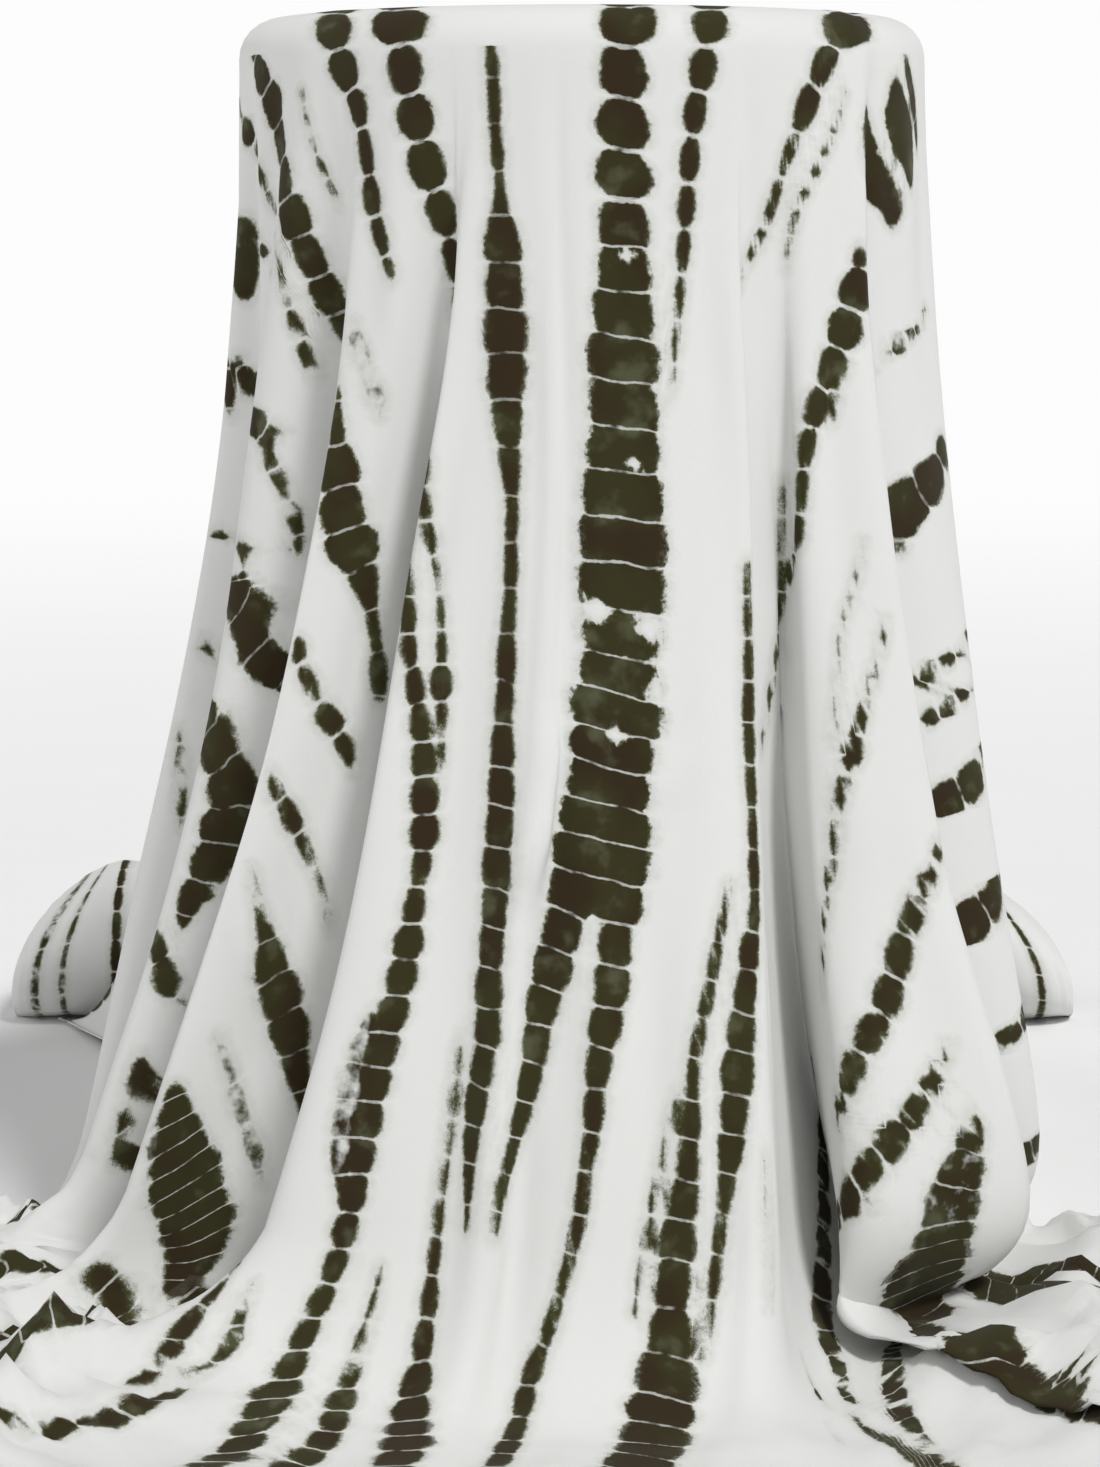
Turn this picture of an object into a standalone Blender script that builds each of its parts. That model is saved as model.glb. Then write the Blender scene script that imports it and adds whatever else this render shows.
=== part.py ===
"""Jersey knit cloth draped over a round display stand, with the rest of its length on a roll.

Metres, +Z up, the front of the drape faces -Y. The origin is the middle of the stand's foot.
The stand is a round top on a narrower drum. The cloth is one sheet: flat on the top, turned
over its edge, hanging in folds to the floor, and spread out there. Behind, it runs to its roll.
"""

import math

import bmesh
import bpy
import numpy as np

# The stand under the cloth: a round top, and the drum it sits on
STAND_RADIUS = 0.300
STAND_HEIGHT = 1.120
STAND_EDGE = 0.034
TOP_DEPTH = 0.070
DRUM_RADIUS = 0.220
STAND_SIDES = 72

# The sheet, measured at the middle of its thickness
CLOTH_THICKNESS = 0.002
GAP = 0.0003
EDGE_CLEARANCE = 0.004
TOP_HEIGHT = STAND_HEIGHT + GAP + CLOTH_THICKNESS / 2
RIM_RADIUS = STAND_RADIUS + EDGE_CLEARANCE
RIM_TURN = 0.034
FLOOR_HEIGHT = CLOTH_THICKNESS / 2 + 0.0001

# The roll behind, which lies along X. Its soft ends lean in towards the top.
ROLL_RADIUS = 0.095
ROLL_LEFT = -0.675
ROLL_RIGHT = 0.585
ROLL_MIDDLE_Y = 0.920
ROLL_LEAN_LEFT = 0.100
ROLL_LEAN_RIGHT = 0.150
ROLL_END_SHAPE = ((0.0, 0.052), (0.008, 0.072), (0.028, 0.086), (0.065, 0.093), (0.13, 0.095))
ROLL_FLAT = 0.0015
ROLL_SIDES = 36

# Where the sheet's tail stops, close under the curve of the roll
TAIL_TOP = FLOOR_HEIGHT + CLOTH_THICKNESS / 2 + GAP
TAIL_Y = ROLL_MIDDLE_Y - math.sqrt(2 * ROLL_RADIUS * (TAIL_TOP + ROLL_FLAT)) - 2 * GAP

# One row for each ridge, slope and valley, from the middle of the back round the left, the front
# and the right. Angles are in degrees, 0 at the front and + to the right. The columns are the
# angle on the rim; the angle and radius at the skirt's middle; the same where the cloth meets
# the floor; the same at the hem; and the height above the floor at the foot and at the hem.
FOLDS = (
    # rim, middle, radius, floor, radius, hem, radius, lift, hem lift
    (-175, -174.5, 0.372, -174.0, 0.740, -176, 1.20, 0.006, 0.0),
    (-162, -162.5, 0.410, -163.5, 0.780, -167, 1.20, 0.030, 0.0),
    (-151, -152.0, 0.375, -153.0, 0.780, -157, 1.20, 0.010, 0.0),
    (-138, -142.5, 0.440, -145.8, 0.930, -146.5, 1.13, 0.105, 0.0),
    (-131, -135.0, 0.345, -141.0, 0.560, -142, 0.80, 0.012, 0.016),
    (-124, -127.0, 0.325, -131.0, 0.430, -136, 0.62, 0.000, 0.0),
    (-116, -119.0, 0.355, -122.0, 0.470, -127, 0.55, 0.020, 0.0),
    (-111, -112.0, 0.300, -114.0, 0.372, -119, 0.50, 0.000, 0.0),
    (-103, -104.0, 0.330, -108.0, 0.430, -112, 0.49, 0.016, 0.0),
    (-96, -97.0, 0.346, -100.0, 0.465, -102, 0.495, 0.020, 0.0),
    (-91, -92.0, 0.300, -94.0, 0.365, -96, 0.49, 0.000, 0.0),
    (-84, -86.0, 0.325, -91.0, 0.410, -90, 0.500, 0.003, 0.0),
    (-74, -79.0, 0.352, -85.0, 0.486, -81, 0.640, 0.014, 0.0),
    (-69, -71.0, 0.292, -77.0, 0.362, -79, 0.760, 0.002, 0.0),
    (-63, -66.0, 0.325, -75.0, 0.440, -76, 0.860, 0.010, 0.0),
    (-55, -59.0, 0.350, -69.0, 0.515, -72, 0.910, 0.032, 0.0),
    (-46, -43.0, 0.268, -61.0, 0.352, -67, 0.860, 0.002, 0.0),
    (-42, -41.5, 0.325, -59.5, 0.422, -63, 0.900, 0.012, 0.0),
    (-37, -41.0, 0.372, -56.0, 0.518, -59, 0.980, 0.034, 0.0),
    (-32, -36.0, 0.348, -49.5, 0.452, -56, 0.950, 0.014, 0.0),
    (-27, -31.0, 0.316, -44.0, 0.396, -54, 0.950, 0.006, 0.0),
    (-21, -23.5, 0.272, -38.5, 0.366, -53, 0.960, 0.002, 0.0),
    (-19, -23.5, 0.322, -37.0, 0.446, -53, 0.990, 0.016, 0.0),
    (-16, -24.0, 0.360, -34.8, 0.524, -50, 1.010, 0.056, 0.0),
    (-13, -19.0, 0.354, -25.6, 0.538, -38, 1.000, 0.024, 0.0),
    (-8, -12.0, 0.346, -15.9, 0.526, -24, 0.980, 0.008, 0.0),
    (-4, -6.0, 0.354, -9.7, 0.538, -15, 1.000, 0.018, 0.0),
    (-1, -2.5, 0.344, -6.2, 0.524, -10, 0.980, 0.008, 0.0),
    (5, 4.0, 0.350, -1.0, 0.532, -4, 0.980, 0.012, 0.0),
    (12, 11.0, 0.352, 4.8, 0.528, 2, 0.970, 0.010, 0.0),
    (18, 17.5, 0.354, 10.8, 0.536, 7, 0.980, 0.016, 0.0),
    (23, 23.1, 0.357, 16.2, 0.528, 12, 0.970, 0.030, 0.0),
    (26, 26.2, 0.314, 29.0, 0.388, 24, 0.920, 0.004, 0.0),
    (30, 35.5, 0.286, 50.0, 0.330, 35, 0.880, 0.002, 0.0),
    (35, 34.6, 0.326, 30.0, 0.436, 38, 0.920, 0.030, 0.0),
    (42, 41.5, 0.345, 42.5, 0.448, 45, 0.940, 0.024, 0.0),
    (49, 49.5, 0.362, 55.5, 0.448, 55, 0.900, 0.040, 0.0),
    (53, 45.0, 0.280, 53.0, 0.330, 62, 0.820, 0.002, 0.0),
    (59, 55.0, 0.310, 60.0, 0.368, 66, 0.830, 0.004, 0.0),
    (66, 64.0, 0.336, 69.0, 0.395, 72, 0.820, 0.012, 0.0),
    (74, 74.0, 0.350, 78.0, 0.412, 76, 0.620, 0.010, 0.0),
    (82, 83.0, 0.340, 87.0, 0.400, 80, 0.470, 0.006, 0.0),
    (88, 89.0, 0.300, 91.0, 0.346, 93, 0.425, 0.000, 0.0),
    (96, 96.0, 0.332, 99.0, 0.385, 101, 0.405, 0.004, 0.0),
    (103, 104.0, 0.348, 107.0, 0.415, 110, 0.440, 0.010, 0.0),
    (108, 109.0, 0.300, 110.0, 0.356, 116, 0.450, 0.000, 0.0),
    (117, 118.0, 0.345, 121.0, 0.450, 124, 0.500, 0.020, 0.0),
    (123, 124.0, 0.312, 128.0, 0.420, 133, 0.580, 0.000, 0.0),
    (131, 133.0, 0.345, 140.0, 0.580, 143, 0.780, 0.006, 0.0),
    (139, 141.0, 0.410, 148.0, 0.820, 150, 1.06, 0.050, 0.0),
    (152, 153.0, 0.375, 154.0, 0.780, 158, 1.20, 0.006, 0.0),
    (166, 165.0, 0.405, 164.0, 0.780, 168, 1.20, 0.028, 0.0),
)
RIM, MIDDLE, MIDDLE_R, FLOOR, FLOOR_R, HEM, HEM_R, LIFT, HEM_LIFT = range(9)
MIDDLE_SHARE = 0.45

# How the sheet is divided: columns for each fold row, and rows down each stretch of cloth
COLUMNS_PER_FOLD = 2
TOP_RINGS = (0.10, 0.19)
TURN_STEPS = 3
SKIRT_STEPS = (0.10, 0.22, 0.34, 0.46, 0.58, 0.70, 0.82)
BEND_START = 0.88
BEND_END = 0.18
BEND_STEPS = 4
SPREAD_STEPS = (0.40, 0.62, 0.82, 1.0)


def clear_scene():
    """Removes whatever the file opened with."""
    for item in list(bpy.data.objects):
        bpy.data.objects.remove(item, do_unlink=True)


def make_material(name, colour, roughness):
    """A plain Principled material."""
    material = bpy.data.materials.new(name)
    material.use_nodes = True
    shader = material.node_tree.nodes["Principled BSDF"]
    shader.inputs["Base Color"].default_value = (*colour, 1.0)
    shader.inputs["Roughness"].default_value = roughness
    shader.inputs["Metallic"].default_value = 0.0
    return material


def add_object(name, mesh, material, collection):
    """Puts a finished mesh in the part's collection under its node name."""
    item = bpy.data.objects.new(name, mesh)
    item.data.materials.append(material)
    collection.objects.link(item)
    return item


def closed_spline(values, columns):
    """Catmull-Rom through the values as a closed loop, with that many columns for each value."""
    before = np.roll(values, 1)
    after = np.roll(values, -1)
    beyond = np.roll(values, -2)
    s = np.arange(columns)[None, :] / columns
    pieces = (
        2 * values[:, None]
        + (after - before)[:, None] * s
        + (2 * before - 5 * values + 4 * after - beyond)[:, None] * s**2
        + (3 * values - before - 3 * after + beyond)[:, None] * s**3
    )
    return pieces.ravel() / 2


def turned_angles(degrees, columns, smooth):
    """An angle for each column all the way round, in radians, splined or even between rows."""
    rest = np.degrees(np.linspace(0, 2 * math.pi, len(degrees), endpoint=False))
    if smooth:
        return np.radians(closed_spline(degrees - rest, columns) + spaced_turns(rest, columns))
    after = np.append(degrees[1:], degrees[0] + 360)
    s = np.arange(columns)[None, :] / columns
    return np.radians(degrees[:, None] * (1 - s) + after[:, None] * s).ravel()


def spaced_turns(degrees, columns):
    """Evenly spaced angles in degrees, one for each column."""
    return degrees[0] + np.arange(len(degrees) * columns) * 360 / (len(degrees) * columns)


def quadratic(start, corner, end, s):
    """A point on the quadratic curve from start to end, drawn towards the corner."""
    return start * (1 - s) ** 2 + corner * 2 * s * (1 - s) + end * s**2


def plan(angle, radius):
    """Points at those angles from the front, +X at 90 degrees, and those distances."""
    return np.stack([radius * np.sin(angle), -radius * np.cos(angle)], axis=1)


def at_height(points, height):
    """Plan points with a height, one number or one for each column."""
    return np.column_stack([points, np.broadcast_to(height, len(points))])


def drape_rows():
    """The sheet's rows of points, from the middle of the top out to the hem."""
    table = np.array(FOLDS)
    rim = turned_angles(table[:, RIM], COLUMNS_PER_FOLD, False)
    angles = [turned_angles(table[:, c], COLUMNS_PER_FOLD, True) for c in (MIDDLE, FLOOR, HEM)]
    middle, floor, hem_angle = angles
    others = (MIDDLE_R, FLOOR_R, HEM_R, LIFT, HEM_LIFT)
    splined = [closed_spline(table[:, c], COLUMNS_PER_FOLD) for c in others]
    middle_r, floor_r, hem_r, lift, hem_lift = splined
    lift = np.maximum(lift, 0.0)
    hem_lift = np.maximum(hem_lift, 0.0)
    foot = plan(floor, floor_r)
    hem = plan(hem_angle, hem_r)
    hem[:, 1] = np.minimum(hem[:, 1], TAIL_Y)
    skirt_top = TOP_HEIGHT - RIM_TURN
    m = MIDDLE_SHARE

    def skirt(t):
        """The cloth a share t down: through the rim, the skirt's middle and the foot in turn."""
        veer = (floor - rim - (middle - rim) / m) / (1 - m)
        angle = rim + (floor - rim - veer) * t + veer * t**2
        flare = (floor_r - RIM_RADIUS - (middle_r - RIM_RADIUS) / m**2) / (1 - m)
        radius = RIM_RADIUS + (floor_r - RIM_RADIUS - flare) * t**2 + flare * t**3
        return at_height(plan(angle, radius), skirt_top * (1 - t))

    def spread(w):
        """The cloth on the floor a share w of the way from its foot to the hem."""
        height = FLOOR_HEIGHT + hem_lift * w + lift * (1 - w) ** 1.4
        return at_height(foot + (hem - foot) * w, height)

    rows = [at_height(plan(rim, r), TOP_HEIGHT) for r in TOP_RINGS]
    for step in range(TURN_STEPS + 1):
        turn = math.pi / 2 * step / TURN_STEPS
        radius = RIM_RADIUS - RIM_TURN * (1 - math.sin(turn))
        rows.append(at_height(plan(rim, radius), TOP_HEIGHT - RIM_TURN * (1 - math.cos(turn))))
    rows += [skirt(t) for t in SKIRT_STEPS]
    start, corner, end = skirt(BEND_START), spread(0.0), spread(BEND_END)
    rows += [quadratic(start, corner, end, k / BEND_STEPS) for k in range(BEND_STEPS + 1)]
    rows += [spread(w) for w in SPREAD_STEPS]
    return rows


def mesh_from_rings(name, rings, first_cap, last_cap):
    """Joins closed rings of points with quads. A cap fans a ring's end to its middle."""
    count = len(rings[0])
    points = [tuple(p) for ring in rings for p in ring]
    here = np.arange(count)
    after = np.roll(here, -1)
    faces = []
    for k in range(len(rings) - 1):
        low, high = k * count, (k + 1) * count
        faces += [(low + a, low + b, high + b, high + a) for a, b in zip(here, after)]
    for wanted, ring, turned in ((first_cap, 0, True), (last_cap, len(rings) - 1, False)):
        if wanted:
            points.append(tuple(np.mean(rings[ring], axis=0)))
            middle = len(points) - 1
            base = ring * count
            ends = [(base + a, base + b) for a, b in zip(here, after)]
            faces += [(middle, b, a) if turned else (middle, a, b) for a, b in ends]
    mesh = bpy.data.meshes.new(name)
    mesh.from_pydata(points, [], [tuple(int(i) for i in face) for face in faces])
    shape = bmesh.new()
    shape.from_mesh(mesh)
    bmesh.ops.recalc_face_normals(shape, faces=shape.faces)
    shape.to_mesh(mesh)
    shape.free()
    return mesh


def build_stand(collection):
    """The stand, turned: a round top with a soft edge over the drum it sits on."""
    profile = [(0.0, STAND_HEIGHT), (STAND_RADIUS - STAND_EDGE, STAND_HEIGHT)]
    for step in range(1, 4):
        turn = math.pi / 2 * step / 4
        profile.append(
            (
                STAND_RADIUS - STAND_EDGE * (1 - math.sin(turn)),
                STAND_HEIGHT - STAND_EDGE * (1 - math.cos(turn)),
            )
        )
    under = STAND_HEIGHT - TOP_DEPTH
    profile += [(STAND_RADIUS, STAND_HEIGHT - STAND_EDGE), (STAND_RADIUS, under)]
    profile += [(DRUM_RADIUS, under), (DRUM_RADIUS, 0.0), (0.0, 0.0)]
    mesh = bpy.data.meshes.new("round_stand")
    points = [(r, 0.0, z) for r, z in profile]
    mesh.from_pydata(points, [(k, k + 1) for k in range(len(points) - 1)], [])
    paint = make_material("pale_board", (0.80, 0.79, 0.77), 0.6)
    stand = add_object("round_stand", mesh, paint, collection)
    screw = stand.modifiers.new("turn", "SCREW")
    screw.steps = STAND_SIDES
    screw.render_steps = STAND_SIDES
    screw.use_merge_vertices = True
    screw.merge_threshold = 0.0001
    return stand


def build_cloth(collection):
    """The draped sheet: the drape's surface given the cloth's thickness."""
    mesh = mesh_from_rings("draped_cloth", drape_rows(), True, False)
    knit = make_material("printed_jersey", (0.80, 0.80, 0.79), 0.85)
    cloth = add_object("draped_cloth", mesh, knit, collection)
    shell = cloth.modifiers.new("thickness", "SOLIDIFY")
    shell.thickness = CLOTH_THICKNESS
    shell.offset = 0.0
    return cloth


def roll_stations():
    """Each ring of the roll as its place along X, its radius, and how far its top leans in."""
    reach = ROLL_END_SHAPE[-1][0]
    left = [(ROLL_LEFT + d, r, ROLL_LEAN_LEFT * (1 - d / reach)) for d, r in ROLL_END_SHAPE]
    right = [(ROLL_RIGHT - d, r, -ROLL_LEAN_RIGHT * (1 - d / reach)) for d, r in ROLL_END_SHAPE]
    between = [(x, ROLL_RADIUS, 0.0) for x in (-0.25, 0.10)]
    return left + between + right[::-1]


def build_roll(collection):
    """The wound length: rings along X, resting on the floor on a narrow flat."""
    turn = np.linspace(0, 2 * math.pi, ROLL_SIDES, endpoint=False)
    rings = []
    for place, radius, lean in roll_stations():
        y = ROLL_MIDDLE_Y + radius * np.sin(turn)
        z = np.maximum(radius - ROLL_FLAT - radius * np.cos(turn), 0.0)
        x = place + lean * (z / (2 * ROLL_RADIUS)) ** 2.7
        rings.append(np.column_stack([x, y, z]))
    mesh = mesh_from_rings("cloth_roll", rings, True, True)
    knit = make_material("wound_jersey", (0.80, 0.80, 0.79), 0.85)
    return add_object("cloth_roll", mesh, knit, collection)


def main():
    clear_scene()
    collection = bpy.data.collections.new("jersey_on_round_stand")
    bpy.context.scene.collection.children.link(collection)
    stand = build_stand(collection)
    cloth = build_cloth(collection)
    roll = build_roll(collection)
    for item in (stand, cloth, roll):
        item.data.shade_smooth()


main()
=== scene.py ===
"""Tie-dyed jersey knit cloth draped over a round stand, with the rest of its length on a roll.

Metres, +Z up, the front of the drape faces -Y, and the origin is the middle of the stand's foot.
"""

import math

import bpy
import numpy as np
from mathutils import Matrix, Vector


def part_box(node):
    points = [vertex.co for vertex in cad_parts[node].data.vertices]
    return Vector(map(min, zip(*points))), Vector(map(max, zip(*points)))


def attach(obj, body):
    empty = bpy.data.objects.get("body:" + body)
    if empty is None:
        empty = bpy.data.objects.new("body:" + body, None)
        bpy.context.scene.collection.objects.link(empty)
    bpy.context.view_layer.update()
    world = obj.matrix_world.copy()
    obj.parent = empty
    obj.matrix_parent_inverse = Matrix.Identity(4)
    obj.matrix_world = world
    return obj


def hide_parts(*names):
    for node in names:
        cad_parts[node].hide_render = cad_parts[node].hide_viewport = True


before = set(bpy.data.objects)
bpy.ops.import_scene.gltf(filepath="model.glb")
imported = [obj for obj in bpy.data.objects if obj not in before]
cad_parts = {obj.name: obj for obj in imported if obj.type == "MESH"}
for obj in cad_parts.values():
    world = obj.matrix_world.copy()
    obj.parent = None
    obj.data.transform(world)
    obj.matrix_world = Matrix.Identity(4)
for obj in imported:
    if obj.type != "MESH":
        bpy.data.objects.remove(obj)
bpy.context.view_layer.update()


# The round stand: a board top on a narrower drum, painted off-white with a roller.
# The cloth hides it from every side, and only its foot shows from below.

PAINT = (0.80, 0.79, 0.77)
THIN_PAINT = tuple(0.93 * c for c in PAINT)
PAINT_LUMPS = 9.0
PAINT_ROUGHNESS = (0.48, 0.62)
ROLLER_STIPPLE = 0.0022
STIPPLE_HEIGHT, STIPPLE_STRENGTH = 0.0004, 0.25


def set_inputs(tree, node, inputs):
    """Sets or links a node's inputs, given by name or number."""
    for key, value in inputs.items():
        if isinstance(value, bpy.types.NodeSocket):
            tree.links.new(value, node.inputs[key])
        else:
            node.inputs[key].default_value = value


def add_node(tree, kind, inputs, **settings):
    """One shader node, with its properties and its inputs set."""
    node = tree.nodes.new(kind)
    for name, value in settings.items():
        setattr(node, name, value)
    set_inputs(tree, node, inputs)
    return node


def math_node(tree, operation, *values):
    """The result of a Math node fed with those numbers or sockets."""
    return add_node(tree, "ShaderNodeMath", dict(enumerate(values)), operation=operation).outputs[0]


def ramp_between(tree, value, low, high, start=0.0, end=1.0):
    """A smooth step from start to end as value goes from low to high."""
    if low > high:
        low, high, start, end = high, low, end, start
    inputs = {0: value, 1: low, 2: high, 3: start, 4: end}
    return add_node(tree, "ShaderNodeMapRange", inputs, interpolation_type="SMOOTHSTEP").outputs[0]


def blend_colours(tree, share, first, second):
    """The colour a share of the way from the first to the second, each a colour or a socket."""
    mix = add_node(tree, "ShaderNodeMix", {0: share}, data_type="RGBA")
    for key, colour in ((6, first), (7, second)):
        fixed = isinstance(colour, tuple)
        set_inputs(tree, mix, {key: (*colour, 1.0) if fixed else colour})
    return mix.outputs[2]


def cloudy(tree, vector, scale, detail=2.0):
    """The height, 0 to 1, of soft noise with that many lumps to the metre."""
    inputs = {"Vector": vector, "Scale": scale, "Detail": detail}
    return add_node(tree, "ShaderNodeTexNoise", inputs).outputs["Fac"]


def bumped(tree, height, strength, distance):
    """The surface's direction, tipped by the slope of a height map that many metres high."""
    inputs = {"Height": height, "Strength": strength, "Distance": distance}
    return add_node(tree, "ShaderNodeBump", inputs).outputs[0]


def new_material(name):
    """A new material, its node tree, its shader, and the place on the object in metres."""
    material = bpy.data.materials.new(name)
    material.use_nodes = True
    tree = material.node_tree
    place = add_node(tree, "ShaderNodeTexCoord", {}).outputs["Object"]
    return material, tree, tree.nodes["Principled BSDF"], place


def painted_board():
    """Off-white paint with a fine roller stipple and slightly uneven gloss."""
    material, tree, shader, place = new_material("painted_board")
    patchy = cloudy(tree, place, PAINT_LUMPS)
    stipple = cloudy(tree, place, 1 / ROLLER_STIPPLE, 1.0)
    inputs = {
        "Base Color": blend_colours(tree, patchy, PAINT, THIN_PAINT),
        "Roughness": ramp_between(tree, patchy, 0.3, 0.7, *PAINT_ROUGHNESS),
        "Normal": bumped(tree, stipple, STIPPLE_STRENGTH, STIPPLE_HEIGHT),
    }
    set_inputs(tree, shader, inputs)
    return material


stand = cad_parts["round_stand"]
stand.data.materials.clear()
stand.data.materials.append(painted_board())


# The draped cloth: one length of light cotton jersey thrown over the stand, so that it lies
# flat on the top, turns over the edge, hangs in tapering folds and spreads out on the floor.

# Each row of the table is one ridge, slope or valley, from the middle of the back round the
# left, the front and the right, and where it runs over the rim, down the skirt and out.
FOLDS = (
    # degrees on the rim; degrees and radius half way down, at the floor and at the hem;
    # height above the floor at the foot, and at the hem
    (-175, -174.5, 0.372, -174.0, 0.740, -176, 1.20, 0.006, 0.0),
    (-162, -162.5, 0.410, -163.5, 0.780, -167, 1.20, 0.030, 0.0),
    (-151, -152.0, 0.375, -153.0, 0.780, -157, 1.20, 0.010, 0.0),
    (-138, -142.5, 0.440, -145.8, 0.930, -146.5, 1.13, 0.105, 0.0),
    (-131, -135.0, 0.345, -141.0, 0.560, -142, 0.80, 0.012, 0.016),
    (-124, -127.0, 0.325, -131.0, 0.430, -136, 0.62, 0.000, 0.0),
    (-116, -119.0, 0.355, -122.0, 0.470, -127, 0.55, 0.020, 0.0),
    (-111, -112.0, 0.300, -114.0, 0.372, -119, 0.50, 0.000, 0.0),
    (-103, -104.0, 0.330, -108.0, 0.430, -112, 0.49, 0.016, 0.0),
    (-96, -97.0, 0.346, -100.0, 0.465, -102, 0.495, 0.020, 0.0),
    (-91, -92.0, 0.300, -94.0, 0.365, -96, 0.49, 0.000, 0.0),
    (-84, -86.0, 0.325, -91.0, 0.410, -90, 0.500, 0.003, 0.0),
    (-74, -79.0, 0.352, -85.0, 0.486, -81, 0.640, 0.014, 0.0),
    (-69, -71.0, 0.292, -77.0, 0.362, -79, 0.760, 0.002, 0.0),
    (-63, -66.0, 0.325, -75.0, 0.440, -76, 0.860, 0.010, 0.0),
    (-55, -59.0, 0.350, -69.0, 0.515, -72, 0.910, 0.032, 0.0),
    (-46, -43.0, 0.268, -61.0, 0.352, -67, 0.860, 0.002, 0.0),
    (-42, -41.5, 0.325, -59.5, 0.422, -63, 0.900, 0.012, 0.0),
    (-37, -41.0, 0.372, -56.0, 0.518, -59, 0.980, 0.034, 0.0),
    (-32, -36.0, 0.348, -49.5, 0.452, -56, 0.950, 0.014, 0.0),
    (-27, -31.0, 0.316, -44.0, 0.396, -54, 0.950, 0.006, 0.0),
    (-21, -23.5, 0.272, -38.5, 0.366, -53, 0.960, 0.002, 0.0),
    (-19, -23.5, 0.322, -37.0, 0.446, -53, 0.990, 0.016, 0.0),
    (-16, -24.0, 0.360, -34.8, 0.524, -50, 1.010, 0.056, 0.0),
    (-13, -19.0, 0.354, -25.6, 0.538, -38, 1.000, 0.024, 0.0),
    (-8, -12.0, 0.346, -15.9, 0.526, -24, 0.980, 0.008, 0.0),
    (-4, -6.0, 0.354, -9.7, 0.538, -15, 1.000, 0.018, 0.0),
    (-1, -2.5, 0.344, -6.2, 0.524, -10, 0.980, 0.008, 0.0),
    (5, 4.0, 0.350, -1.0, 0.532, -4, 0.980, 0.012, 0.0),
    (12, 11.0, 0.352, 4.8, 0.528, 2, 0.970, 0.010, 0.0),
    (18, 17.5, 0.354, 10.8, 0.536, 7, 0.980, 0.016, 0.0),
    (23, 23.1, 0.357, 16.2, 0.528, 12, 0.970, 0.030, 0.0),
    (26, 26.2, 0.314, 29.0, 0.388, 24, 0.920, 0.004, 0.0),
    (30, 35.5, 0.286, 50.0, 0.330, 35, 0.880, 0.002, 0.0),
    (35, 34.6, 0.326, 30.0, 0.436, 38, 0.920, 0.030, 0.0),
    (42, 41.5, 0.345, 42.5, 0.448, 45, 0.940, 0.024, 0.0),
    (49, 49.5, 0.362, 55.5, 0.448, 55, 0.900, 0.040, 0.0),
    (53, 45.0, 0.280, 53.0, 0.330, 62, 0.820, 0.002, 0.0),
    (59, 55.0, 0.310, 60.0, 0.368, 66, 0.830, 0.004, 0.0),
    (66, 64.0, 0.336, 69.0, 0.395, 72, 0.820, 0.012, 0.0),
    (74, 74.0, 0.350, 78.0, 0.412, 76, 0.620, 0.010, 0.0),
    (82, 83.0, 0.340, 87.0, 0.400, 80, 0.470, 0.006, 0.0),
    (88, 89.0, 0.300, 91.0, 0.346, 93, 0.425, 0.000, 0.0),
    (96, 96.0, 0.332, 99.0, 0.385, 101, 0.405, 0.004, 0.0),
    (103, 104.0, 0.348, 107.0, 0.415, 110, 0.440, 0.010, 0.0),
    (108, 109.0, 0.300, 110.0, 0.356, 116, 0.450, 0.000, 0.0),
    (117, 118.0, 0.345, 121.0, 0.450, 124, 0.500, 0.020, 0.0),
    (123, 124.0, 0.312, 128.0, 0.420, 133, 0.580, 0.000, 0.0),
    (131, 133.0, 0.345, 140.0, 0.580, 143, 0.780, 0.006, 0.0),
    (139, 141.0, 0.410, 148.0, 0.820, 150, 1.06, 0.050, 0.0),
    (152, 153.0, 0.375, 154.0, 0.780, 158, 1.20, 0.006, 0.0),
    (166, 165.0, 0.405, 164.0, 0.780, 168, 1.20, 0.028, 0.0),
)
RIM, MIDDLE, MIDDLE_R, FLOOR, FLOOR_R, HEM, HEM_R, LIFT, HEM_LIFT = range(9)

stand_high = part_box("round_stand")[1]
cloth_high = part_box("draped_cloth")[1]
roll_low, roll_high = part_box("cloth_roll")

# The cloth's thickness, its bend over the stand, and its heights, in metres; then where the
# skirt's middle and its bend at the floor are, as shares of the way down and of the way out
SHEET = 0.0016
TOP_HEIGHT = stand_high.z + 0.0013
RIM_RADIUS = stand_high.x + 0.004
RIM_TURN = 0.034
FLOOR_HEIGHT = 0.0011
TAIL_Y = cloth_high.y
FIRST_RING = 0.02
MIDDLE_SHARE = 0.45
BEND_START, BEND_END = 0.88, 0.18
LIFT_POWER = 2.2

# The two folds on the right that bulge out as lobes: fold, reach in folds, and share; and where
# a lobe's bend goes, as shares of its start and of the foot
LOBES = ((35.2, 1.3, 1.0), (39.3, 0.9, 0.8))
LOBE_START, LOBE_BULGE = 0.62, 0.030
LOBE_DROP, LOBE_TUCK = (1.02, 1.02, 0.2), (0.66, 0.66, 0.5)

COLUMNS_PER_FOLD = 7
TOP_ROWS, TURN_ROWS, SKIRT_ROWS, BEND_ROWS, SPREAD_ROWS = 20, 6, 58, 15, 32
RIM_ROW = TOP_ROWS + TURN_ROWS


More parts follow.
